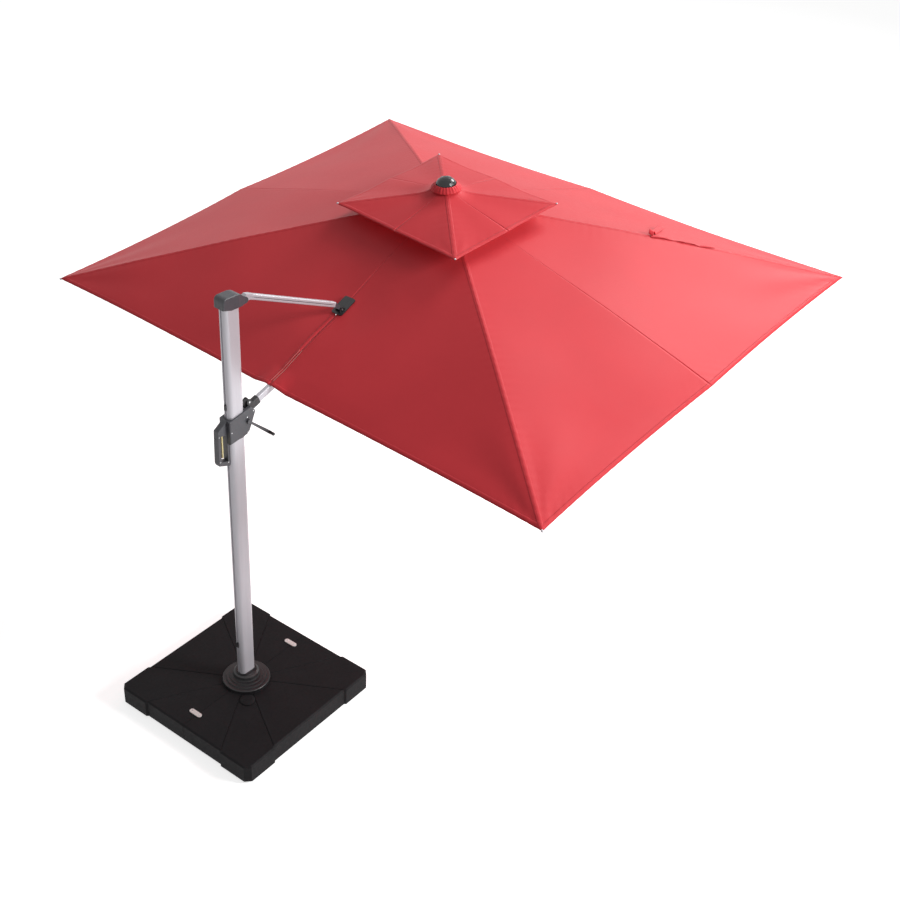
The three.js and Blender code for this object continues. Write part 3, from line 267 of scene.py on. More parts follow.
@dataclass(frozen=True)
class Moulded:
    """Moulded plastic with a fine spark-eroded grain, faint flow marks and a little dust."""

    name: str
    colour: tuple[float, float, float]
    roughness: float = 0.5
    grain: float = 900.0
    depth: float = 0.00008
    dust: float = 0.25
    gloss: float = 0.5

    def build(self) -> bpy.types.Material:
        """Makes the material."""
        graph = Graph(self.name)
        clouds = graph.noise(7.0, 4.0)
        fine = graph.noise(60.0, 4.0, 0.65)
        lighter = [min(1.0, part * 1.9 + 0.012) for part in self.colour]
        dusty = graph.maths("MULTIPLY", graph.ramp(clouds, 0.42, 0.72), self.dust)
        shade = graph.mix(dusty, self.colour, lighter)
        darker = [part * 0.75 for part in self.colour]
        speck = graph.maths("MULTIPLY", graph.ramp(fine, 0.55, 0.75), 0.6)
        graph.shade(Base_Color=graph.mix(speck, shade, darker))
        graph.shade(Roughness=graph.ramp(fine, 0.3, 0.7, self.roughness - 0.07, self.roughness + 0.09))
        graph.shade(Specular_IOR_Level=self.gloss)
        grain = graph.bump(graph.cells(self.grain), self.depth, 0.7)
        graph.shade(Normal=graph.bump(clouds, 0.0006, 0.35, grain))
        return graph.material


@dataclass(frozen=True)
class PowderCoat:
    """Powder-coated aluminium: a pale satin coat with orange peel, and slight marks along the tube."""

    name: str
    colour: tuple[float, float, float]
    roughness: float = 0.36
    metallic: float = 0.25
    peel: float = 0.00005

    def build(self) -> bpy.types.Material:
        """Makes the material."""
        graph = Graph(self.name)
        peel = graph.noise(420.0, 2.0, 0.5)
        clouds = graph.noise(3.5, 3.0)
        streaks = graph.noise(1.0, 4.0, 0.6, graph.space((60.0, 60.0, 2.2)))
        darker = [part * 0.88 for part in self.colour]
        worn = graph.maths("MULTIPLY", graph.ramp(clouds, 0.35, 0.7), graph.ramp(streaks, 0.35, 0.75))
        graph.shade(Base_Color=graph.mix(worn, self.colour, darker), Metallic=self.metallic)
        graph.shade(Roughness=graph.ramp(streaks, 0.3, 0.7, self.roughness - 0.05, self.roughness + 0.08))
        graph.shade(Normal=graph.bump(peel, self.peel, 0.8))
        return graph.material


@dataclass(frozen=True)
class PlatedSteel:
    """Zinc-plated steel with fine turning marks."""

    name: str
    colour: tuple[float, float, float]
    roughness: float = 0.3

    def build(self) -> bpy.types.Material:
        """Makes the material."""
        graph = Graph(self.name)
        rub = graph.noise(140.0, 5.0, 0.7)
        spangle = graph.noise(35.0, 2.0)
        darker = [part * 0.7 for part in self.colour]
        graph.shade(Base_Color=graph.mix(graph.ramp(spangle, 0.35, 0.7), self.colour, darker), Metallic=0.95)
        graph.shade(Roughness=graph.ramp(rub, 0.3, 0.7, self.roughness - 0.08, self.roughness + 0.15))
        graph.shade(Normal=graph.bump(rub, 0.00005, 0.6))
        return graph.material


@dataclass(frozen=True)
class Canvas:
    """Woven canopy cloth: a fine plain weave, uneven dye, and seam and hem stitching where its points say."""

    name: str
    colour: tuple[float, float, float]
    sheen: float = 0.05
    threads: float = 620.0
    stitch_pitch: float = 0.0042
    hem: float = 0.024
    fell: float = 0.015

    def build(self) -> bpy.types.Material:
        """Makes the material."""
        graph = Graph(self.name)
        edge = graph.attribute("edge")
        seam = graph.attribute("seam")
        run = graph.attribute("run")
        clouds = graph.noise(2.2, 4.0, 0.55)
        slub = graph.noise(1.0, 3.0, 0.6, graph.space((320.0, 26.0, 320.0)))
        darker = [part * 0.93 for part in self.colour]
        dye = graph.mix(graph.ramp(clouds, 0.3, 0.72), self.colour, darker)
        dye = graph.mix(graph.maths("MULTIPLY", graph.ramp(slub, 0.45, 0.8), 0.16), dye, darker)
        lines = [self._line(graph, seam, place, run) for place in (self.fell * 0.22, self.fell * 0.9)]
        lines += [self._line(graph, edge, place, run) for place in (self.hem, self.hem * 0.22)]
        stitched = lines[0]
        for line in lines[1:]:
            stitched = graph.maths("MAXIMUM", stitched, line)
        thread = [part * 0.62 for part in self.colour]
        graph.shade(Base_Color=graph.mix(graph.maths("MULTIPLY", stitched, 0.6), dye, thread))
        graph.shade(Roughness=graph.ramp(slub, 0.3, 0.7, 0.40, 0.50), Sheen_Weight=self.sheen, Sheen_Roughness=0.5)
        graph.shade(Specular_IOR_Level=0.12)
        mesh = graph.space((1.0, 1.0, 1.0))
        warp = graph.waves(mesh, "X", self.threads)
        weft = graph.waves(mesh, "Y", self.threads)
        weave = graph.bump(graph.maths("MULTIPLY", warp, weft), 0.00012, 0.35)
        creased = graph.bump(graph.noise(9.0, 5.0, 0.6), 0.0016, 0.35, weave)
        folded = graph.maths("MINIMUM", graph.ramp(seam, 0.0, self.fell), graph.ramp(edge, 0.0, self.hem))
        raised = graph.bump(graph.ramp(folded, 0.8, 1.0, 1.0, 0.0), 0.0018, 0.9, creased)
        graph.shade(Normal=graph.bump(graph.maths("SUBTRACT", 1.0, stitched), 0.0005, 0.7, raised))
        return graph.material

    def _line(self, graph: Graph, across: object, place: float, run: object) -> bpy.types.NodeSocket:
        """A row of stitches at one distance from a seam or edge.

        Args:
            graph: the material's tree.
            across: the distance from the seam or edge.
            place: the distance at which the row runs.
            run: the distance along it.

        Returns:
            A socket that is 1 on the thread.
        """
        off = graph.maths("ABSOLUTE", graph.maths("SUBTRACT", across, place))
        band = graph.ramp(off, 0.0004, 0.0011, 1.0, 0.0)
        beat = graph.maths("FRACT", graph.maths("DIVIDE", run, self.stitch_pitch))
        dash = graph.ramp(graph.maths("ABSOLUTE", graph.maths("SUBTRACT", beat, 0.5)), 0.3, 0.42, 1.0, 0.35)
        return graph.maths("MULTIPLY", band, dash)


TANK = Moulded(
    "tank_plastic", (0.0125, 0.0118, 0.0130), roughness=0.56, grain=520.0, depth=0.00015, dust=0.10, gloss=0.10
)
BLACK = Moulded("black_plastic", (0.012, 0.011, 0.0125), roughness=0.42)
TRIM = Moulded("grey_trim", (0.058, 0.058, 0.067), roughness=0.42, grain=1100.0, depth=0.00005)
CREAM = Moulded("cream_plastic", (0.66, 0.56, 0.27), roughness=0.4, dust=0.1)
GLOSS = Moulded("gloss_black", (0.010, 0.0095, 0.011), roughness=0.16, depth=0.00001, dust=0.1)
COAT = PowderCoat("champagne_coat", (0.56, 0.545, 0.585))
PLATE = PowderCoat("plate_coat", (0.80, 0.78, 0.76), roughness=0.3, metallic=0.1)
RIB_COAT = PowderCoat("rib_coat", (0.56, 0.53, 0.56), roughness=0.4)
ZINC = PlatedSteel("zinc_steel", (0.56, 0.57, 0.58))
CANVAS = Canvas("red_canvas", (0.66, 0.044, 0.055))
BINDING = Moulded("pale_thread", (0.62, 0.22, 0.20), roughness=0.7)


# ---------------------------------------------------------------- mesh helpers


def make_object(name: str, mesh: bpy.types.Mesh) -> bpy.types.Object:
    """Puts a mesh in the scene under one name."""
    mesh.name = name
    piece = bpy.data.objects.new(name, mesh)
    bpy.context.scene.collection.objects.link(piece)
    return piece


def mesh_of(points: Iterable[Sequence[float]], faces: Iterable[Sequence[int]]) -> bpy.types.Mesh:
    """Makes a smooth-shaded mesh.

    Args:
        points: its points.
        faces: its faces, as indices of the points.

    Returns:
        The mesh.
    """
    mesh = bpy.data.meshes.new("piece")
    mesh.from_pydata([tuple(point) for point in points], [], [tuple(face) for face in faces])
    mesh.update()
    mesh.polygons.foreach_set("use_smooth", [True] * len(mesh.polygons))
    return mesh


def keep_numbers(mesh: bpy.types.Mesh, **values: np.ndarray) -> None:
    """Keeps numbers on a mesh's points, for its material to read."""
    for name, numbers in values.items():
        layer = mesh.attributes.new(name, "FLOAT", "POINT")
        layer.data.foreach_set("value", np.ascontiguousarray(numbers, dtype=np.float32).ravel())


def sheet_mesh(top: np.ndarray, thickness: float, **values: np.ndarray) -> bpy.types.Mesh:
    """Makes a closed sheet of even thickness under a grid of points.

    Args:
        top: the grid, rows by columns by 3; its upper side is the one that faces up.
        thickness: the sheet's thickness.
        values: numbers for each grid point, kept on both sides.

    Returns:
        The mesh.
    """
    rows, columns = top.shape[:2]
    normal = np.cross(np.gradient(top, axis=0), np.gradient(top, axis=1))
    normal /= np.maximum(np.linalg.norm(normal, axis=2, keepdims=True), 1e-9)
    turned = normal[..., 2].mean() < 0
    if turned:
        normal = -normal
    count = rows * columns
    points = np.concatenate([top.reshape(-1, 3), (top - normal * thickness).reshape(-1, 3)])
    index = np.arange(count).reshape(rows, columns)
    quads = np.stack([index[:-1, :-1], index[1:, :-1], index[1:, 1:], index[:-1, 1:]], axis=-1).reshape(-1, 4)
    loop = [*index[:, 0], *index[-1, 1:], *index[::-1, -1][1:], *index[0, ::-1][1:-1]]
    rim = [(after, before, before + count, after + count) for before, after in zip(loop, loop[1:] + loop[:1])]
    faces = np.concatenate([quads, quads[:, ::-1] + count, np.array(rim)])
    if turned:
        faces = faces[:, ::-1]
    mesh = mesh_of(points, faces.tolist())
    keep_numbers(mesh, **{name: np.tile(np.asarray(numbers).ravel(), 2) for name, numbers in values.items()})
    return mesh


def turned_mesh(profile: Sequence[tuple[float, float]], sides: int = 32) -> bpy.types.Mesh:
    """Turns a profile about the z axis, and closes it where it meets the axis.

    Args:
        profile: radius and height of each of its points; it may end on the axis.
        sides: how many faces there are round it.

    Returns:
        The mesh.
    """
    mesh = bpy.data.meshes.new("turned")
    shape = bmesh.new()
    chain = [shape.verts.new((radius, 0.0, height)) for radius, height in profile]
    edges = [shape.edges.new(pair) for pair in zip(chain, chain[1:])]
    bmesh.ops.spin(shape, geom=chain + edges, axis=(0, 0, 1), cent=(0, 0, 0), steps=sides, angle=math.tau)
    bmesh.ops.remove_doubles(shape, verts=shape.verts, dist=1e-6)
    bmesh.ops.recalc_face_normals(shape, faces=shape.faces)
    shape.to_mesh(mesh)
    shape.free()
    mesh.polygons.foreach_set("use_smooth", [True] * len(mesh.polygons))
    return mesh


def place_mesh(mesh: bpy.types.Mesh, matrix: Matrix) -> bpy.types.Mesh:
    """Moves a mesh's points, and gives the mesh back."""
    mesh.transform(matrix)
    return mesh


def settle(piece: bpy.types.Object, material: bpy.types.Material, body: str) -> bpy.types.Object:
    """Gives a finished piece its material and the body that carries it.

    Args:
        piece: the piece, at the origin with its shape in its points.
        material: its material.
        body: the body that it moves with.

    Returns:
        The piece.
    """
    piece.data.materials.clear()
    piece.data.materials.append(material)
    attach(piece, body)
    return piece


# ---------------------------------------------------------------- the cloth


@dataclass(frozen=True)
class RoofPlan:
    """The canopy's plan in its own frame, with its apex on the w axis and its corners at w = 0."""

    centre: tuple[float, float, float] = (1.7152, 0.0, 2.2098)
    tilt: float = math.radians(6.005)
    half_u: float = 1.4727
    half_v: float = 1.83
    apex: float = 0.5368
    raise_u: float = 0.0056
    raise_v: float = 0.0131

    def place(self) -> Matrix:
        """The matrix from the canopy's frame to the shared one."""
        return Matrix.Translation(self.centre) @ Matrix.Rotation(-self.tilt, 4, "Y")

    def world(self, grid: np.ndarray) -> np.ndarray:
        """Moves a grid of points from the canopy's frame to the shared one."""
        matrix = np.array(self.place())
        return grid @ matrix[:3, :3].T + matrix[:3, 3]


PLAN = RoofPlan()


@dataclass
class Quarter:
    """A quarter of a roof between the middles of two sides, carried by the rod or rib at its corner."""

    name: str
    side_u: int
    side_v: int
    body: str
    pivot: tuple[float, float]


@dataclass
class Roof:
    """The main canopy: four quarters of one sheet, bowed over the ribs and drawn in between them."""

    plan: RoofPlan = PLAN
    thickness: float = 1.5 * MM
    opening: float = 0.2037
    rows: int = 118
    columns: int = 128
    bow: float = 11.0 * MM
    sag: float = 13.0 * MM
    draw: float = 17.0 * MM
    slit_half: float = 0.35 * MM
    gate: tuple[float, float, float] = (-0.943, -0.880, 7.0 * MM)
    boom_line: tuple[float, float, float] = (-1.5273, 0.0044, 0.24924)
    boom_half: float = 18.0 * MM
    bracket: tuple[float, float] = (-0.86, 0.26)
    pivot: tuple[float, float] = (0.075, 0.49)
    keep: float = 0.12
    quarters: list[Quarter] = field(default_factory=list)

    def __post_init__(self) -> None:
        """Names the four quarters."""
        for side_u, side_v, body in ((1, 1, "rib_2"), (-1, 1, "rib_4"), (-1, -1, "rib_6"), (1, -1, "rib_8")):
            ends = ("mast" if side_u < 0 else "front", "left" if side_v > 0 else "right")
            self.quarters.append(Quarter(f"canopy_{'_'.join(ends)}", side_u, side_v, body, self.pivot))

    def slit(self, u: np.ndarray) -> np.ndarray:
        """Half the width of the slit over the boom, at each place along it on the mast's side."""
        low, high, wide = self.gate
        width = np.where(u > high, 0.0, self.slit_half)
        return np.where((u >= low) & (u <= high), wide, width)

    def tent(self, u: np.ndarray, v: np.ndarray, height: np.ndarray) -> np.ndarray:
        """How far the hem is held up where it crosses over the boom.

        Args:
            u: distances along the boom.
            v: distances across it.
            height: the cloth's height without the boom.

        Returns:
            The heights to add.
        """
        start, level, slope = self.boom_line
        over = level + slope * (u - start) + 4.0 * MM - height
        side = np.clip(1 - (np.abs(v) - self.boom_half) / 0.11, 0, 1)
        return np.where(u < -1.1, np.clip(over, 0, None), 0.0) * side * side * (3 - 2 * side)

    def height(self, u: np.ndarray, v: np.ndarray) -> np.ndarray:
        """How high the cloth lies over the corners' plane.

        Args:
            u: distances along the boom.
            v: distances across it.

        Returns:
            The heights.
        """
        plan = self.plan
        across, along = np.abs(v) / plan.half_v, np.abs(u) / plan.half_u
        share = np.maximum(across, along)
        turn = np.minimum(across, along) / np.maximum(share, 1e-6)
        middle = np.where(along > across, plan.raise_u, plan.raise_v)
        flat = plan.apex * (1 - share) + middle * share * (1 - turn)
        reach = np.clip((share - self.opening) / (1 - self.opening), 0, 1)
        place, room = self.bracket
        near = np.clip(1.25 - np.hypot(u - place, v) / room, 0, 1)
        bowed = self.bow * 4 * reach * (1 - reach) * (1 - near * near * (3 - 2 * near))
        hollow = self.sag * share * self.dip(turn) * (0.55 + 0.45 * reach)
        height = flat + bowed - hollow
        return height + self.tent(u, v, height)

    def dip(self, turn: np.ndarray) -> np.ndarray:
        """The shape of the hollow between two ribs, with a fold over the middle one."""
        return 4 * turn * (1 - turn)

    def ripple(self, u: np.ndarray, v: np.ndarray) -> np.ndarray:
        """Small waves in the cloth: puckers beside the seams and hem, and tension folds towards the corners.

        Args:
            u: distances along the boom.
            v: distances across it.

        Returns:
            The waves' heights.
        """
        plan = self.plan
        diagonal = math.hypot(plan.half_u, plan.half_v)
        au, av = np.abs(u), np.abs(v)
        off = (au * plan.half_v - av * plan.half_u) / diagonal
        run = (au * plan.half_u + av * plan.half_v) / diagonal
        share = np.maximum(au / plan.half_u, av / plan.half_v)
        rim = (1 - share) * plan.half_u
        pucker = np.sin(run * 115 + np.sign(off) * 1.1) * np.exp(-np.abs(off) / 0.045) * 0.9 * MM
        hem = np.sin((au - av) * 88) * np.exp(-rim / 0.05) * 0.8 * MM
        bearing = np.arctan2(off, np.maximum(diagonal - run, 1e-4))
        near = np.clip(1 - (diagonal - run) / (diagonal * 0.32), 0, 1)
        folds = np.sin(bearing * 13) * near * (1 - near) * np.clip(np.abs(off) / 0.05, 0, 1) * 7.0 * MM
        clouds = np.array([perlin((x * 1.9, y * 1.9, 4.2)) for x, y in zip(u.ravel(), v.ravel())]).reshape(u.shape)
        calm = np.clip((share - self.opening) / 0.2, 0, 1) * np.clip(rim / 0.12, 0, 1)
        return pucker * np.clip(rim / 0.03, 0, 1) + hem + folds + clouds * calm * 6.0 * MM

    def grid(self, quarter: Quarter) -> tuple[np.ndarray, dict[str, np.ndarray]]:
        """Points of one quarter and the numbers its stitching needs.

        Args:
            quarter: which quarter.

        Returns:
            The grid in the shared frame, and each point's distances from the seam, the edge and along them.
        """
        plan = self.plan
        ring = self.opening + (1 - self.opening) * np.linspace(0, 1, self.rows) ** 0.94
        ease = np.linspace(0, 1, self.columns // 2 + 1)
        halves = ease - 0.09 * np.sin(math.tau * ease) / 1.2
        turn = np.concatenate([halves, 1 + halves[1:]])
        share, place = np.meshgrid(ring, turn, indexing="ij")
        first = place <= 1
        within = np.where(first, place, 2 - place)
        drawn = self.draw * 4 * within * (1 - within) * share**3
        u = np.where(first, plan.half_u * share - drawn, plan.half_u * within * share)
        v = np.where(first, plan.half_v * within * share, plan.half_v * share - drawn)
        if quarter.side_u < 0:
            gap = self.slit(-u)
            v = np.where(first, gap + v * (1 - gap / (plan.half_v * share)), v)
        edge = (1 - share) * np.where(first, plan.half_u, plan.half_v)
        if quarter.side_u < 0:
            beside = np.where(first & (u > 0.95), v - self.slit(-u), 9.0)
            edge = np.minimum(edge, beside)
        diagonal = math.hypot(plan.half_u, plan.half_v)
        seam = np.abs(u * plan.half_v - v * plan.half_u) / diagonal
        run = (u * plan.half_u + v * plan.half_v) / diagonal
        su, sv = quarter.side_u * u, quarter.side_v * v
        w = self.height(su, sv) + self.ripple(su, sv)
        w -= 3.0 * MM * np.clip(1 - edge / 0.02, 0, 1) ** 2
        top = plan.world(np.stack([su, sv, w], axis=-1))
        return top, {"seam": seam, "edge": edge, "run": run, "along": np.where(first, v, u)}

    def build(self, cloth: bpy.types.Material) -> list[bpy.types.Object]:
        """Makes the four quarters and lets each ride on its corner's rib.

        Args:
            cloth: the canopy's cloth.

        Returns:
            The quarters.
        """
        pieces = []
        for quarter in self.quarters:
            top, numbers = self.grid(quarter)
            piece = make_object(quarter.name, sheet_mesh(top, self.thickness, **numbers))
            settle(piece, cloth, quarter.body)
            self.fold(piece)
            pieces.append(piece)
        return pieces

    def fold(self, piece: bpy.types.Object) -> None:
        """Gives a quarter its own copy of its mesh.

        Args:
            piece: the quarter's piece.
        """
        turn = self.plan.place()
        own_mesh(piece)


@dataclass
class VentRoof(Roof):
    """The small roof over the opening, tipped and turned a little on its own rods."""

    corner: tuple[float, float, float] = (0.4225, 0.4838, -0.0855)
    vent_apex: float = 0.5742
    lifted: tuple[float, float] = (0.046, 0.088)
    vent_tilt: float = math.radians(1.03)
    vent_turn: float = math.radians(-4.18)
    opening: float = 0.036
    rows: int = 60
    columns: int = 84
    bow: float = 3.0 * MM
    sag: float = 5.0 * MM
    draw: float = 7.0 * MM
    pivot: tuple[float, float] = (0.105, 0.545)

    def __post_init__(self) -> None:
        """Names the four quarters, and takes the vent's own plan."""
        half_u, half_v, fall = self.corner
        self.plan = RoofPlan(half_u=half_u, half_v=half_v, apex=-fall, raise_u=0.0, raise_v=0.0)
        corners = ((1, 1, "vent_rod_1"), (-1, 1, "vent_rod_2"), (-1, -1, "vent_rod_3"), (1, -1, "vent_rod_4"))
        for side_u, side_v, body in corners:
            ends = ("mast" if side_u < 0 else "front", "left" if side_v > 0 else "right")
            self.quarters.append(Quarter(f"vent_{'_'.join(ends)}", side_u, side_v, body, self.pivot))

    def tent(self, u: np.ndarray, v: np.ndarray, height: np.ndarray) -> np.ndarray:
        """The vent has nothing under its hem, so nothing is added."""
        return np.zeros_like(height)

    def dip(self, turn: np.ndarray) -> np.ndarray:
        """The shape of the hollow between two corners, with no fold between them."""
        return np.sin(math.pi * turn) ** 2

    def crown(self, u: np.ndarray, v: np.ndarray) -> np.ndarray:
        """How far the middle is held up by the post under the dome."""
        rise, reach = self.lifted
        return rise * np.exp(-((np.hypot(u, v) / reach) ** 2))

    def tip(self) -> Matrix:
        """The matrix from the vent's plan to the canopy's frame."""
        turn = Matrix.Rotation(-self.vent_tilt, 4, "Y") @ Matrix.Rotation(self.vent_turn, 4, "Z")
        return Matrix.Translation((0, 0, self.vent_apex)) @ turn @ Matrix.Translation((0, 0, -self.plan.apex))

    def grid(self, quarter: Quarter) -> tuple[np.ndarray, dict[str, np.ndarray]]:
        """Points of one quarter of the vent and the numbers its stitching needs.

        Args:
            quarter: which quarter.

        Returns:
            The grid in the shared frame, and each point's distances from the seam, the edge and along them.
        """
        plan = self.plan
        ring = self.opening + (1 - self.opening) * np.linspace(0, 1, self.rows)
        ease = np.linspace(0, 1, self.columns // 2 + 1)
        turn = np.concatenate([ease, 1 + ease[1:]])
        share, place = np.meshgrid(ring, turn, indexing="ij")
        first = place <= 1
        within = np.where(first, place, 2 - place)
        drawn = self.draw * 4 * within * (1 - within) * share**3
        u = np.where(first, plan.half_u * share - drawn, plan.half_u * within * share)
        v = np.where(first, plan.half_v * within * share, plan.half_v * share - drawn)
        diagonal = math.hypot(plan.half_u, plan.half_v)
        seam = np.abs(u * plan.half_v - v * plan.half_u) / diagonal
        run = (u * plan.half_u + v * plan.half_v) / diagonal
        edge = (1 - share) * np.where(first, plan.half_u, plan.half_v)
        su, sv = quarter.side_u * u, quarter.side_v * v
        w = self.height(su, sv) + self.ripple(su, sv) * 0.4 + self.crown(su, sv)
        w -= 2.0 * MM * np.clip(1 - edge / 0.02, 0, 1) ** 2
        matrix = np.array(self.tip())
        inner = np.stack([su, sv, w], axis=-1) @ matrix[:3, :3].T + matrix[:3, 3]
        return PLAN.world(inner), {"seam": seam, "edge": edge, "run": run, "along": np.where(first, v, u)}


# ---------------------------------------------------------------- copies of small parts


@dataclass(frozen=True)
class Fastener:
    """A pan-head screw with a cross recess, its head's underside at z = 0."""

    radius: float = 4.2 * MM
    height: float = 2.4 * MM
    recess: float = 1.3 * MM

    def build(self) -> bpy.types.Object:
        """Makes the head as an object that the copies are taken from."""
        rim = self.radius
        profile = [(0.0, 0.0), (rim, 0.0), (rim, self.height * 0.35), (rim * 0.86, self.height * 0.75)]
        profile += [(rim * 0.6, self.height), (rim * 0.3, self.height), (rim * 0.18, self.height - self.recess)]
        profile.append((0.0, self.height - self.recess))
        return bpy.data.objects.new("screw_head", turned_mesh(profile, 16))


@dataclass
class Copies:
    """Copies of one part on a set of places, made with Geometry Nodes and kept as one plain mesh."""

    part: bpy.types.Object
    finish: bpy.types.Material
    seed: int = 7

    def tree(self) -> bpy.types.NodeTree:
        """Makes the node tree: place, turn, spin at random, realize and set the material."""
        tree = bpy.data.node_groups.new("copies", "GeometryNodeTree")
        face = tree.interface
        face.new_socket("Geometry", in_out="INPUT", socket_type="NodeSocketGeometry")
        face.new_socket("Part", in_out="INPUT", socket_type="NodeSocketObject")
        face.new_socket("Facing", in_out="INPUT", socket_type="NodeSocketVector")
        face.new_socket("Seed", in_out="INPUT", socket_type="NodeSocketInt")
        face.new_socket("Finish", in_out="INPUT", socket_type="NodeSocketMaterial")
        face.new_socket("Geometry", in_out="OUTPUT", socket_type="NodeSocketGeometry")
        given = tree.nodes.new("NodeGroupInput")
        result = tree.nodes.new("NodeGroupOutput")
        info = tree.nodes.new("GeometryNodeObjectInfo")
        copies = tree.nodes.new("GeometryNodeInstanceOnPoints")
        spin = tree.nodes.new("FunctionNodeRandomValue")
        angles = tree.nodes.new("ShaderNodeCombineXYZ")
        turn = tree.nodes.new("GeometryNodeRotateInstances")
        real = tree.nodes.new("GeometryNodeRealizeInstances")
        dress = tree.nodes.new("GeometryNodeSetMaterial")
        spin.data_type = "FLOAT"
        low, high = [socket for socket in spin.inputs if socket.type == "VALUE"][:2]
        low.default_value, high.default_value = 0.0, math.tau
        link = tree.links.new
        link(given.outputs["Geometry"], copies.inputs["Points"])
        link(given.outputs["Part"], info.inputs["Object"])
        link(given.outputs["Facing"], copies.inputs["Rotation"])
        link(given.outputs["Seed"], spin.inputs["Seed"])
        link(given.outputs["Finish"], dress.inputs["Material"])
        link(info.outputs["Geometry"], copies.inputs["Instance"])
        link(next(socket for socket in spin.outputs if socket.type == "VALUE"), angles.inputs["Z"])
        link(copies.outputs["Instances"], turn.inputs["Instances"])
        link(angles.outputs["Vector"], turn.inputs["Rotation"])
        link(turn.outputs["Instances"], real.inputs["Geometry"])
        link(real.outputs["Geometry"], dress.inputs["Geometry"])
        link(dress.outputs["Geometry"], result.inputs["Geometry"])
        return tree

    def build(self, name: str, places: Sequence[Sequence[float]], facing: Sequence[float]) -> bpy.types.Object:
        """Puts copies on the places.

        Args:
            name: the finished piece's name.
            places: points in the shared frame.
            facing: the turn that brings the part's z axis to the side that it faces.

        Returns:
            The copies as one plain mesh.
        """
        holder = make_object(name + "_places", mesh_of(places, []))
        modifier = holder.modifiers.new("copies", "NODES")
        tree = self.tree()
        modifier.node_group = tree
        values = {"Part": self.part, "Facing": facing, "Seed": self.seed, "Finish": self.finish}
        for item in tree.interface.items_tree:
            if item.in_out == "INPUT" and item.name in values:
                modifier[item.identifier] = values[item.name]
        bpy.context.view_layer.update()
        ready = holder.evaluated_get(bpy.context.evaluated_depsgraph_get())
        mesh = bpy.data.meshes.new_from_object(ready)
        mesh.polygons.foreach_set("use_smooth", [True] * len(mesh.polygons))
        bpy.data.objects.remove(holder)
        return make_object(name, mesh)


# ---------------------------------------------------------------- trims on the canopy


@dataclass
class FinialTrim:
    """The glossy dome's gathered ring of cloth, tucked under it on the vent."""

    middle: tuple[float, float] = (0.0750, 0.6035)
    lean: tuple[float, float] = (-0.66, 0.75)
    half_length: float = 0.021
    puff: float = 3.6 * MM
    gathers: int = 26
    rings: int = 12

    def build(self, cloth: bpy.types.Material) -> bpy.types.Object:
        """Makes the ring.

        Args:
            cloth: the canopy's cloth.

        Returns:
            The ring.
        """
        count = self.gathers * 8
        points = []
        for i in range(count):
            turn = math.tau * i / count
            wave = math.sin(self.gathers * turn) + 0.4 * math.sin(self.gathers * 0.5 * turn + 1.0)
            for j in range(self.rings):
                round_turn = math.tau * j / self.rings
                along = self.half_length * math.cos(round_turn)
                out = self.puff * (1 + 0.15 * wave) * math.sin(round_turn) + wave * 0.5 * MM
                radius = self.middle[0] + self.lean[0] * along + self.lean[1] * out
                height = self.middle[1] + self.lean[1] * along - self.lean[0] * out
                points.append((radius * math.cos(turn), radius * math.sin(turn), height))
        faces = []
        for i in range(count):
            for j in range(self.rings):
                after, above = (i + 1) % count, (j + 1) % self.rings
                corners = (i, j), (i, above), (after, above), (after, j)
                faces.append([a * self.rings + b for a, b in corners])
        ring = make_object("finial_gather", place_mesh(mesh_of(points, faces), PLAN.place()))
        far = np.full(len(ring.data.vertices), 1.0)
        keep_numbers(ring.data, seam=far, edge=far, run=far, along=far)
        return settle(ring, cloth, "boom")


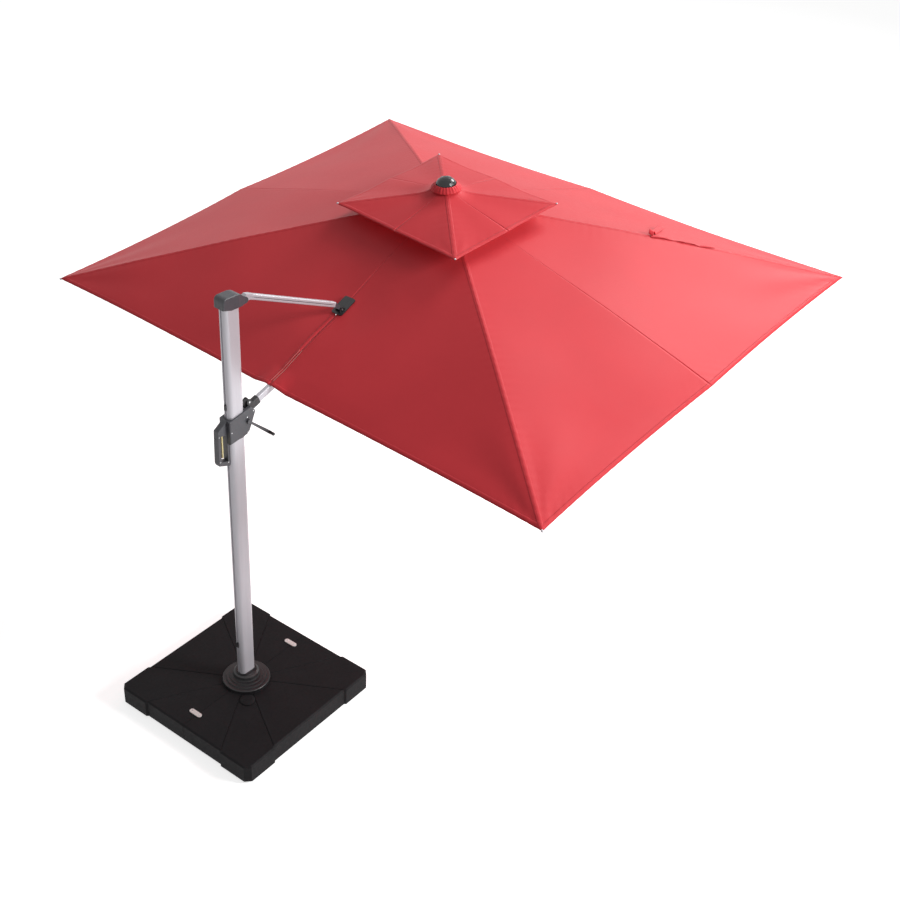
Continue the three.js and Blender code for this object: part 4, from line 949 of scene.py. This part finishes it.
@dataclass
class TieStrap:
    """The closing strap: a narrow band of canopy cloth lying along a corner seam, with a loose end."""

    width: float = 0.036
    start: float = 0.506
    end: float = 0.668
    lift: float = 3.0 * MM
    thickness: float = 1.6 * MM
    steps: int = 90
    loose: float = 0.29
    loop_height: float = 26.0 * MM
    loop_share: float = 0.22
    foot_rise: float = 6.0 * MM
    end_rise: float = 12.0 * MM
    flare: tuple[float, float] = (0.8, 0.35)
    aim: tuple[float, float] = (0.94, 0.341)
    wave: float = 3.0 * MM
    cant: float = 10.0 * MM
    rows: int = 48

    def build(self, roof: Roof, cloth: bpy.types.Material) -> list[bpy.types.Object]:
        """Makes the band and its loose end.

        Args:
            roof: the canopy that it lies on.
            cloth: the canopy's cloth.

        Returns:
            The two pieces.
        """
        plan = roof.plan
        share = np.linspace(self.start, self.end, self.steps)
        twist = np.clip(np.sin(np.linspace(0.25, math.pi * 2.6, self.steps)), -1, 1)
        marks = [self.start, self.start + 0.03, self.end - 0.06, self.end - 0.035, self.end]
        narrow = np.interp(share, marks, [1.0, 0.40, 0.24, 0.70, 0.10])
        across = np.linspace(-0.5, 0.5, 9)
        length = math.hypot(plan.half_u, plan.half_v)
        band = np.zeros((self.steps, across.size, 3))
        for i, (s, w, t) in enumerate(zip(share, narrow, twist)):
            u, v = plan.half_u * s, -plan.half_v * s
            side = np.array([plan.half_v, plan.half_u]) / length
            for j, a in enumerate(across):
                x = u + side[0] * a * self.width * w
                y = v + side[1] * a * self.width * w
                wave = self.wave * (abs(t) * (1 + 2 * w) + a * t)
                band[i, j] = (x, y, self._level(roof, x, y) + wave)
        pieces = [self._band("tie_strap", plan.world(band), cloth)]
        foot = np.array([plan.half_u * self.start, -plan.half_v * self.start])
        aim = np.array(self.aim)
        side = np.array([-aim[1], aim[0]])
        start_width, flare = self.flare
        tail = np.zeros((self.rows, across.size, 3))
        for i, t in enumerate(np.linspace(0, 1, self.rows)):
            loop = math.sin(min(t / self.loop_share, 1.0) * math.pi)
            rise = self.foot_rise + self.loop_height * loop + self.end_rise * max(t - self.loop_share, 0.0)
            middle = foot + aim * t * self.loose
            for j, a in enumerate(across):
                x, y = middle + side * a * self.width * (start_width + flare * t)
                tail[i, j] = (x, y, self._level(roof, x, y) + rise + a * self.cant)
        pieces.append(self._band("tie_strap_end", plan.world(tail), cloth))
        return pieces

    def _level(self, roof: Roof, u: float, v: float) -> float:
        """The height at which the strap's underside lies over one place on the canopy."""
        return roof.height(np.array([u]), np.array([v]))[0] + self.lift

    def _band(
        self, name: str, grid: np.ndarray, cloth: bpy.types.Material
    ) -> bpy.types.Object:
        """Makes one band from its grid of points.

        Args:
            name: the piece's name.
            grid: the points, along by across.
            cloth: the canopy's cloth.

        Returns:
            The band.
        """
        edge = np.broadcast_to(self.width * (0.5 - np.abs(np.linspace(-0.5, 0.5, grid.shape[1]))), grid.shape[:2])
        run = np.broadcast_to(np.linspace(0, 0.4, grid.shape[0])[:, None], grid.shape[:2])
        mesh = sheet_mesh(grid, self.thickness, seam=np.full(grid.shape[:2], 1.0), edge=edge, run=run, along=run)
        piece = settle(make_object(name, mesh), cloth, "rib_8")
        return piece


@dataclass
class CornerTips:
    """Plugs at the roof's corners and pale rod tips at the vent's, so the cloth is seen to be held."""

    tip_radius: float = 6.5 * MM

    def build(self, roof: Roof, vent: VentRoof) -> list[bpy.types.Object]:
        """Makes the tips.

        Args:
            roof: the canopy.
            vent: the vent's roof.

        Returns:
            The pieces.
        """
        pieces = []
        for quarter in roof.quarters:
            pieces.append(self._plug(roof, quarter))
        for quarter in vent.quarters:
            half_u, half_v, _ = vent.corner
            spot = vent.tip() @ Vector((quarter.side_u * (half_u - 0.006), quarter.side_v * (half_v - 0.007), 1.5 * MM))
            ball = self._ball(self.tip_radius)
            place_mesh(ball, PLAN.place() @ Matrix.Translation(spot) @ Matrix.Diagonal((1, 1, 0.6, 1)))
            pieces.append(settle(make_object(f"{quarter.name}_tip", ball), RIB_FINISH, quarter.body))
        return pieces

    def _ball(self, radius: float) -> bpy.types.Mesh:
        """Makes a small ball."""
        steps = 8
        profile = [(radius * math.cos(a), radius * math.sin(a)) for a in np.linspace(-math.pi / 2, math.pi / 2, steps)]
        profile[0], profile[-1] = (0.0, -radius), (0.0, radius)
        return turned_mesh(profile, 16)

    def _plug(self, roof: Roof, quarter: Quarter) -> bpy.types.Object:
        """Makes one corner's plug, sticking out a little beyond the hem.

        Args:
            roof: the canopy.
            quarter: the quarter whose corner it is.

        Returns:
            The plug.
        """
        plan = roof.plan
        bearing = math.atan2(quarter.side_v * plan.half_v, quarter.side_u * plan.half_u)
        slope = math.atan2(plan.apex, math.hypot(plan.half_u, plan.half_v))
        outline = ((0.0, 0.0), (5.0, 0.0), (6.5, 3.0), (6.5, 10.0), (5.0, 13.0), (0.0, 14.0))
        profile = [(radius * MM, height * MM) for radius, height in outline]
        mesh = turned_mesh(profile, 18)
        spot = Vector((quarter.side_u * plan.half_u, quarter.side_v * plan.half_v, 0.0))
        out = Vector((math.cos(bearing), math.sin(bearing), 0.0))
        turn = Matrix.Rotation(bearing, 4, "Z") @ Matrix.Rotation(math.pi / 2 + slope, 4, "Y")
        base = Matrix.Translation(spot - out * 0.012 + Vector((0, 0, -4.0 * MM)))
        place_mesh(mesh, plan.place() @ base @ turn)
        return settle(make_object(f"{quarter.name}_plug", mesh), RIB_FINISH, quarter.body)


@dataclass
class SlitBinding:
    """Two pale bindings beside the slit over the boom, near the hem."""

    start: float = -1.4450
    end: float = -1.22
    width: float = 2.4 * MM
    offset: float = 6.0 * MM
    lift: float = 1.6 * MM
    steps: int = 60

    def build(self, roof: Roof, thread: bpy.types.Material) -> list[bpy.types.Object]:
        """Makes the bindings.

        Args:
            roof: the canopy.
            thread: their finish.

        Returns:
            The pieces.
        """
        pieces = []
        for side, body in ((1, "rib_4"), (-1, "rib_6")):
            u = np.linspace(self.start, self.end, self.steps)
            gap = roof.slit(u) + self.offset
            rows = []
            for a in np.linspace(-0.5, 0.5, 5):
                v = side * (gap + self.width * (a + 0.5))
                w = roof.height(u, v) + roof.ripple(u, v) + self.lift * (1 - (2 * a) ** 2) + 0.4 * MM
                rows.append(np.stack([u, v, w], axis=-1))
            grid = roof.plan.world(np.stack(rows, axis=1))
            piece = make_object(f"slit_binding_{'left' if side > 0 else 'right'}", sheet_mesh(grid, 1.2 * MM))
            settle(piece, thread, body)
            roof.fold(piece)
            pieces.append(piece)
        return pieces


# ---------------------------------------------------------------- screws and small hardware


@dataclass
class Hardware:
    """Screws that show on the bridge plates, the slider and its handle."""

    plate_holes: float = 0.029
    slider_side: float = 0.0421
    slider_screws: tuple[tuple[float, float], ...] = ((0.099, 1.996), (0.054, 1.975), (0.055, 1.882), (-0.055, 1.924))
    handle_side: float = 0.0181
    handle_screws: tuple[tuple[float, float], ...] = ((-0.067, 1.738), (-0.121, 1.915), (-0.122, 1.760))

    def build(self) -> list[bpy.types.Object]:
        """Makes the screws, one piece for each body.

        Returns:
            The pieces.
        """
        head = Fastener().build()
        steel = Copies(head, ZINC_FINISH)
        dark = Copies(head, BLACK_FINISH, seed=11)
        pieces = []
        plates = []
        for node in ("bridge_plate_front", "bridge_plate_rear"):
            low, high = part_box(node)
            middle = (low + high) / 2
            plates += [(middle.x, middle.y + side * self.plate_holes, high.z) for side in (-1, 1)]
        pieces.append(self._settled(steel.build("plate_screws", plates, (0.0, 0.0, 0.0)), ZINC_FINISH, "base"))
        near = [(x, -self.slider_side, z) for x, z in self.slider_screws]
        near += [(x, -self.handle_side, z) for x, z in self.handle_screws]
        far = [(x, -y, z) for x, y, z in near]
        facing = math.pi / 2
        right = steel.build("slider_screws_right", near, (facing, 0.0, 0.0))
        left = dark.build("slider_screws_left", far, (-facing, 0.0, 0.0))
        pieces.append(self._settled(right, ZINC_FINISH, "slider"))
        pieces.append(self._settled(left, BLACK_FINISH, "slider"))
        return pieces

    def _settled(self, piece: bpy.types.Object, finish: bpy.types.Material, body: str) -> bpy.types.Object:
        """Lets a set of screws ride on its body."""
        return settle(piece, finish, body)


@dataclass
class ArmInlay:
    """The dark line that runs along each side of the upper arm: a shallow crowned strip on its face."""

    pivot: tuple[float, float] = (0.095, 2.637)
    slope: float = math.radians(23.43)
    start: float = 0.038
    end: float = 0.692
    rise: float = 0.0185
    side: float = 0.015
    width: float = 3.4 * MM
    crown: float = 0.35 * MM
    depth: float = 0.4 * MM
    steps: int = 24

    def build(self) -> bpy.types.Object:
        """Makes the strips of both sides as one piece.

        Returns:
            The piece.
        """
        across = np.linspace(-1.0, 1.0, 7)
        points: list[tuple[float, float, float]] = []
        faces: list[tuple[int, ...]] = []
        for side in (-1, 1):
            first = len(points)
            for step in range(self.steps + 1):
                share = step / self.steps
                along = self.start + (self.end - self.start) * share
                taper = math.sqrt(max(1.0 - abs(2 * share - 1) ** 40, 0.02))
                for a in across:
                    up = self.rise + a * self.width / 2 * taper
                    out = self.side + self.crown * (1 - a * a) + 0.02 * MM
                    points.append(self._place(along, up, side * out))
                inside = side * (self.side - self.depth)
                points += [self._place(along, self.rise + a * self.width / 2 * taper, inside) for a in (1, -1)]
            ring = across.size + 2
            for step in range(self.steps):
                for k in range(ring):
                    low, high = first + step * ring + k, first + step * ring + (k + 1) % ring
                    face = (low, high, high + ring, low + ring)
                    faces.append(face)
            faces += [tuple(first + row * ring + k for k in range(ring)) for row in (0, self.steps)]
        piece = make_object("arm_inlay", mesh_of(points, faces))
        rebuilt = bmesh.new()
        rebuilt.from_mesh(piece.data)
        bmesh.ops.recalc_face_normals(rebuilt, faces=rebuilt.faces[:])
        rebuilt.to_mesh(piece.data)
        rebuilt.free()
        return settle(piece, TRIM_FINISH, "arm")

    def _place(self, along: float, up: float, out: float) -> tuple[float, float, float]:
        """A point of the arm, from its run, height and side offset."""
        x, z = self.pivot
        return (
            x + along * math.cos(self.slope) + up * math.sin(self.slope),
            out,
            z - along * math.sin(self.slope) + up * math.cos(self.slope),
        )


# ---------------------------------------------------------------- finishes on the carried-over frame


@dataclass
class FrameDress:
    """Gives every carried-over part of the frame the finish of its slot."""

    finishes: dict[str, bpy.types.Material]

    def build(self) -> int:
        """Dresses the nodes.

        Returns:
            How many nodes were dressed.
        """
        count = 0
        for name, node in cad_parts.items():
            material = self.finishes[self.slot_of(name)]
            node.data.materials.clear()
            node.data.materials.append(material)
            count += 1
        return count

    def slot_of(self, name: str) -> str:
        """Finds the finish of a node.

        Args:
            name: the node's name.

        Returns:
            The finish's slot.
        """
        starts = {
            "plate": ("bridge_plate",),
            "tank": ("base_half", "filler_cap"),
            "trim": ("head_cap", "slider_shell", "arm_end", "crank_arm"),
            "metal": ("mast_tube", "arm_tube", "boom_tube"),
            "cream": ("grip_lever",),
            "gloss": ("finial",),
            "frame": ("rib", "strut", "vent_rod"),
            "cloth": ("canopy_panel", "vent_canopy"),
            "steel": ("cross_frame", "mast_spigot", "head_pin", "bracket_pin", "slider_pin", "lock_pin"),
        }
        return next((slot for slot, names in starts.items() if name.startswith(names)), "black")


# ---------------------------------------------------------------- stage


@dataclass
class Studio:
    """A white floor and background, soft lamps and the camera."""

    place: tuple[float, float, float] = (-3.8735, -4.5423, 5.6885)
    bearing: float = math.radians(-51.877)
    rise: float = math.radians(33.439)
    roll: float = math.radians(3.566)
    lens: float = 52.90
    shift: tuple[float, float] = (-0.0085, 0.0067)
    world_level: float = 0.28
    key_power: float = 820.0
    floor_size: float = 60.0
    floor_lift: float = 0.72

    def build(self) -> None:
        """Makes the floor, world, lamps and camera."""
        self.floor()
        self.world()
        self.lamp("key", (4.5, -8.5, 6.5), self.key_power, 3.0)
        self.lamp("sheen", (10.5, -0.6, 9.0), self.key_power * 1.15, 4.5)
        self.camera()
        bpy.context.scene.view_settings.view_transform = "Standard"

    def floor(self) -> None:
        """Lays a matt white floor that keeps the shadow."""
        half = self.floor_size / 2
        points = [(-half, -half, 0.0), (half, -half, 0.0), (half, half, 0.0), (-half, half, 0.0)]
        floor = make_object("studio_floor", mesh_of(points, [(0, 1, 2, 3)]))
        floor.data.materials.append(self.white())

    def white(self) -> bpy.types.Material:
        """A matt white that is lifted to the background's white where it is seen, apart from the shadow."""
        graph = Graph("studio_white")
        path = graph.tree.nodes.new("ShaderNodeLightPath")
        seen = graph.maths("MAXIMUM", path.outputs["Is Camera Ray"], path.outputs["Is Glossy Ray"])
        seen = graph.maths("MAXIMUM", seen, path.outputs["Is Transmission Ray"])
        graph.shade(Base_Color=(0.80, 0.80, 0.80, 1.0), Roughness=1.0, Specular_IOR_Level=0.0)
        graph.shade(Emission_Color=(1.0, 1.0, 1.0, 1.0))
        graph.shade(Emission_Strength=graph.maths("MULTIPLY", seen, self.floor_lift))
        return graph.material

    def world(self) -> None:
        """Makes an even light from all round, white where it is seen straight or mirrored."""
        world = bpy.data.worlds.new("studio_world")
        bpy.context.scene.world = world
        world.use_nodes = True
        tree = world.node_tree
        tree.nodes.clear()
        output = tree.nodes.new("ShaderNodeOutputWorld")
        soft = tree.nodes.new("ShaderNodeBackground")
        soft.inputs["Color"].default_value = (1.0, 1.0, 1.0, 1.0)
        soft.inputs["Strength"].default_value = self.world_level
        white = tree.nodes.new("ShaderNodeBackground")
        white.inputs["Color"].default_value = (1.0, 1.0, 1.0, 1.0)
        choose = tree.nodes.new("ShaderNodeMixShader")
        path = tree.nodes.new("ShaderNodeLightPath")
        seen = path.outputs["Is Camera Ray"]
        for ray in ("Is Glossy Ray", "Is Transmission Ray"):
            either = tree.nodes.new("ShaderNodeMath")
            either.operation = "MAXIMUM"
            tree.links.new(seen, either.inputs[0])
            tree.links.new(path.outputs[ray], either.inputs[1])
            seen = either.outputs[0]
        tree.links.new(seen, choose.inputs["Fac"])
        tree.links.new(soft.outputs["Background"], choose.inputs[1])
        tree.links.new(white.outputs["Background"], choose.inputs[2])
        tree.links.new(choose.outputs["Shader"], output.inputs["Surface"])

    def lamp(self, name: str, place: Sequence[float], power: float, size: float) -> None:
        """Adds a square area lamp that faces the object.

        Args:
            name: the lamp's name.
            place: where it stands.
            power: its power in watts.
            size: its side.
        """
        light = bpy.data.lights.new(name, "AREA")
        light.energy, light.size = power, size
        lamp = bpy.data.objects.new(name, light)
        bpy.context.scene.collection.objects.link(lamp)
        lamp.location = place
        lamp.rotation_euler = (Vector((1.2, 0.0, 1.6)) - Vector(place)).to_track_quat("-Z", "Y").to_euler()

    def camera(self) -> None:
        """Sets the camera up."""
        data = bpy.data.cameras.new("camera")
        data.lens, data.sensor_width = self.lens, 36.0
        data.shift_x, data.shift_y = self.shift
        data.clip_end = 200.0
        camera = bpy.data.objects.new("camera", data)
        bpy.context.scene.collection.objects.link(camera)
        back = Vector((
            math.sin(self.bearing) * math.cos(self.rise),
            -math.cos(self.bearing) * math.cos(self.rise),
            math.sin(self.rise),
        ))
        right = Vector((math.cos(self.bearing), math.sin(self.bearing), 0.0))
        above = back.cross(right)
        x_axis = right * math.cos(self.roll) + above * math.sin(self.roll)
        y_axis = above * math.cos(self.roll) - right * math.sin(self.roll)
        camera.matrix_world = Matrix((
            (x_axis.x, y_axis.x, back.x, self.place[0]),
            (x_axis.y, y_axis.y, back.y, self.place[1]),
            (x_axis.z, y_axis.z, back.z, self.place[2]),
            (0.0, 0.0, 0.0, 1.0),
        ))
        bpy.context.scene.camera = camera


TANK_FINISH = TANK.build()
BLACK_FINISH = BLACK.build()
TRIM_FINISH = TRIM.build()
RIB_FINISH = RIB_COAT.build()
PLATE_FINISH = PLATE.build()
ZINC_FINISH = ZINC.build()


def main() -> None:
    """Builds the umbrella's looks in order."""
    logging.basicConfig(level=logging.INFO, format="%(name)s: %(message)s")
    cloth = CANVAS.build()
    finishes = {
        "tank": TANK_FINISH, "black": BLACK_FINISH, "trim": TRIM_FINISH, "metal": COAT.build(), "frame": RIB_FINISH,
        "plate": PLATE_FINISH, "steel": ZINC_FINISH, "cream": CREAM.build(), "gloss": GLOSS.build(), "cloth": cloth,
    }
    LOG.info("dressed %d frame parts", FrameDress(finishes).build())
    roof, vent = Roof(), VentRoof()
    quarters = roof.build(cloth)
    vents = vent.build(cloth)
    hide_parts("canopy_panel_front", "canopy_panel_left")
    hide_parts("canopy_panel_mast", "canopy_panel_right")
    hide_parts("vent_canopy")
    FinialTrim().build(cloth)
    TieStrap().build(roof, cloth)
    CornerTips().build(roof, vent)
    SlitBinding().build(roof, BINDING.build())
    LOG.info("built the canopy's trims")
    LOG.info("built %d sets of screws", len(Hardware().build()))
    LOG.info("built %s", ArmInlay().build().name)
    Studio().build()


if __name__ == "__main__":
    main()
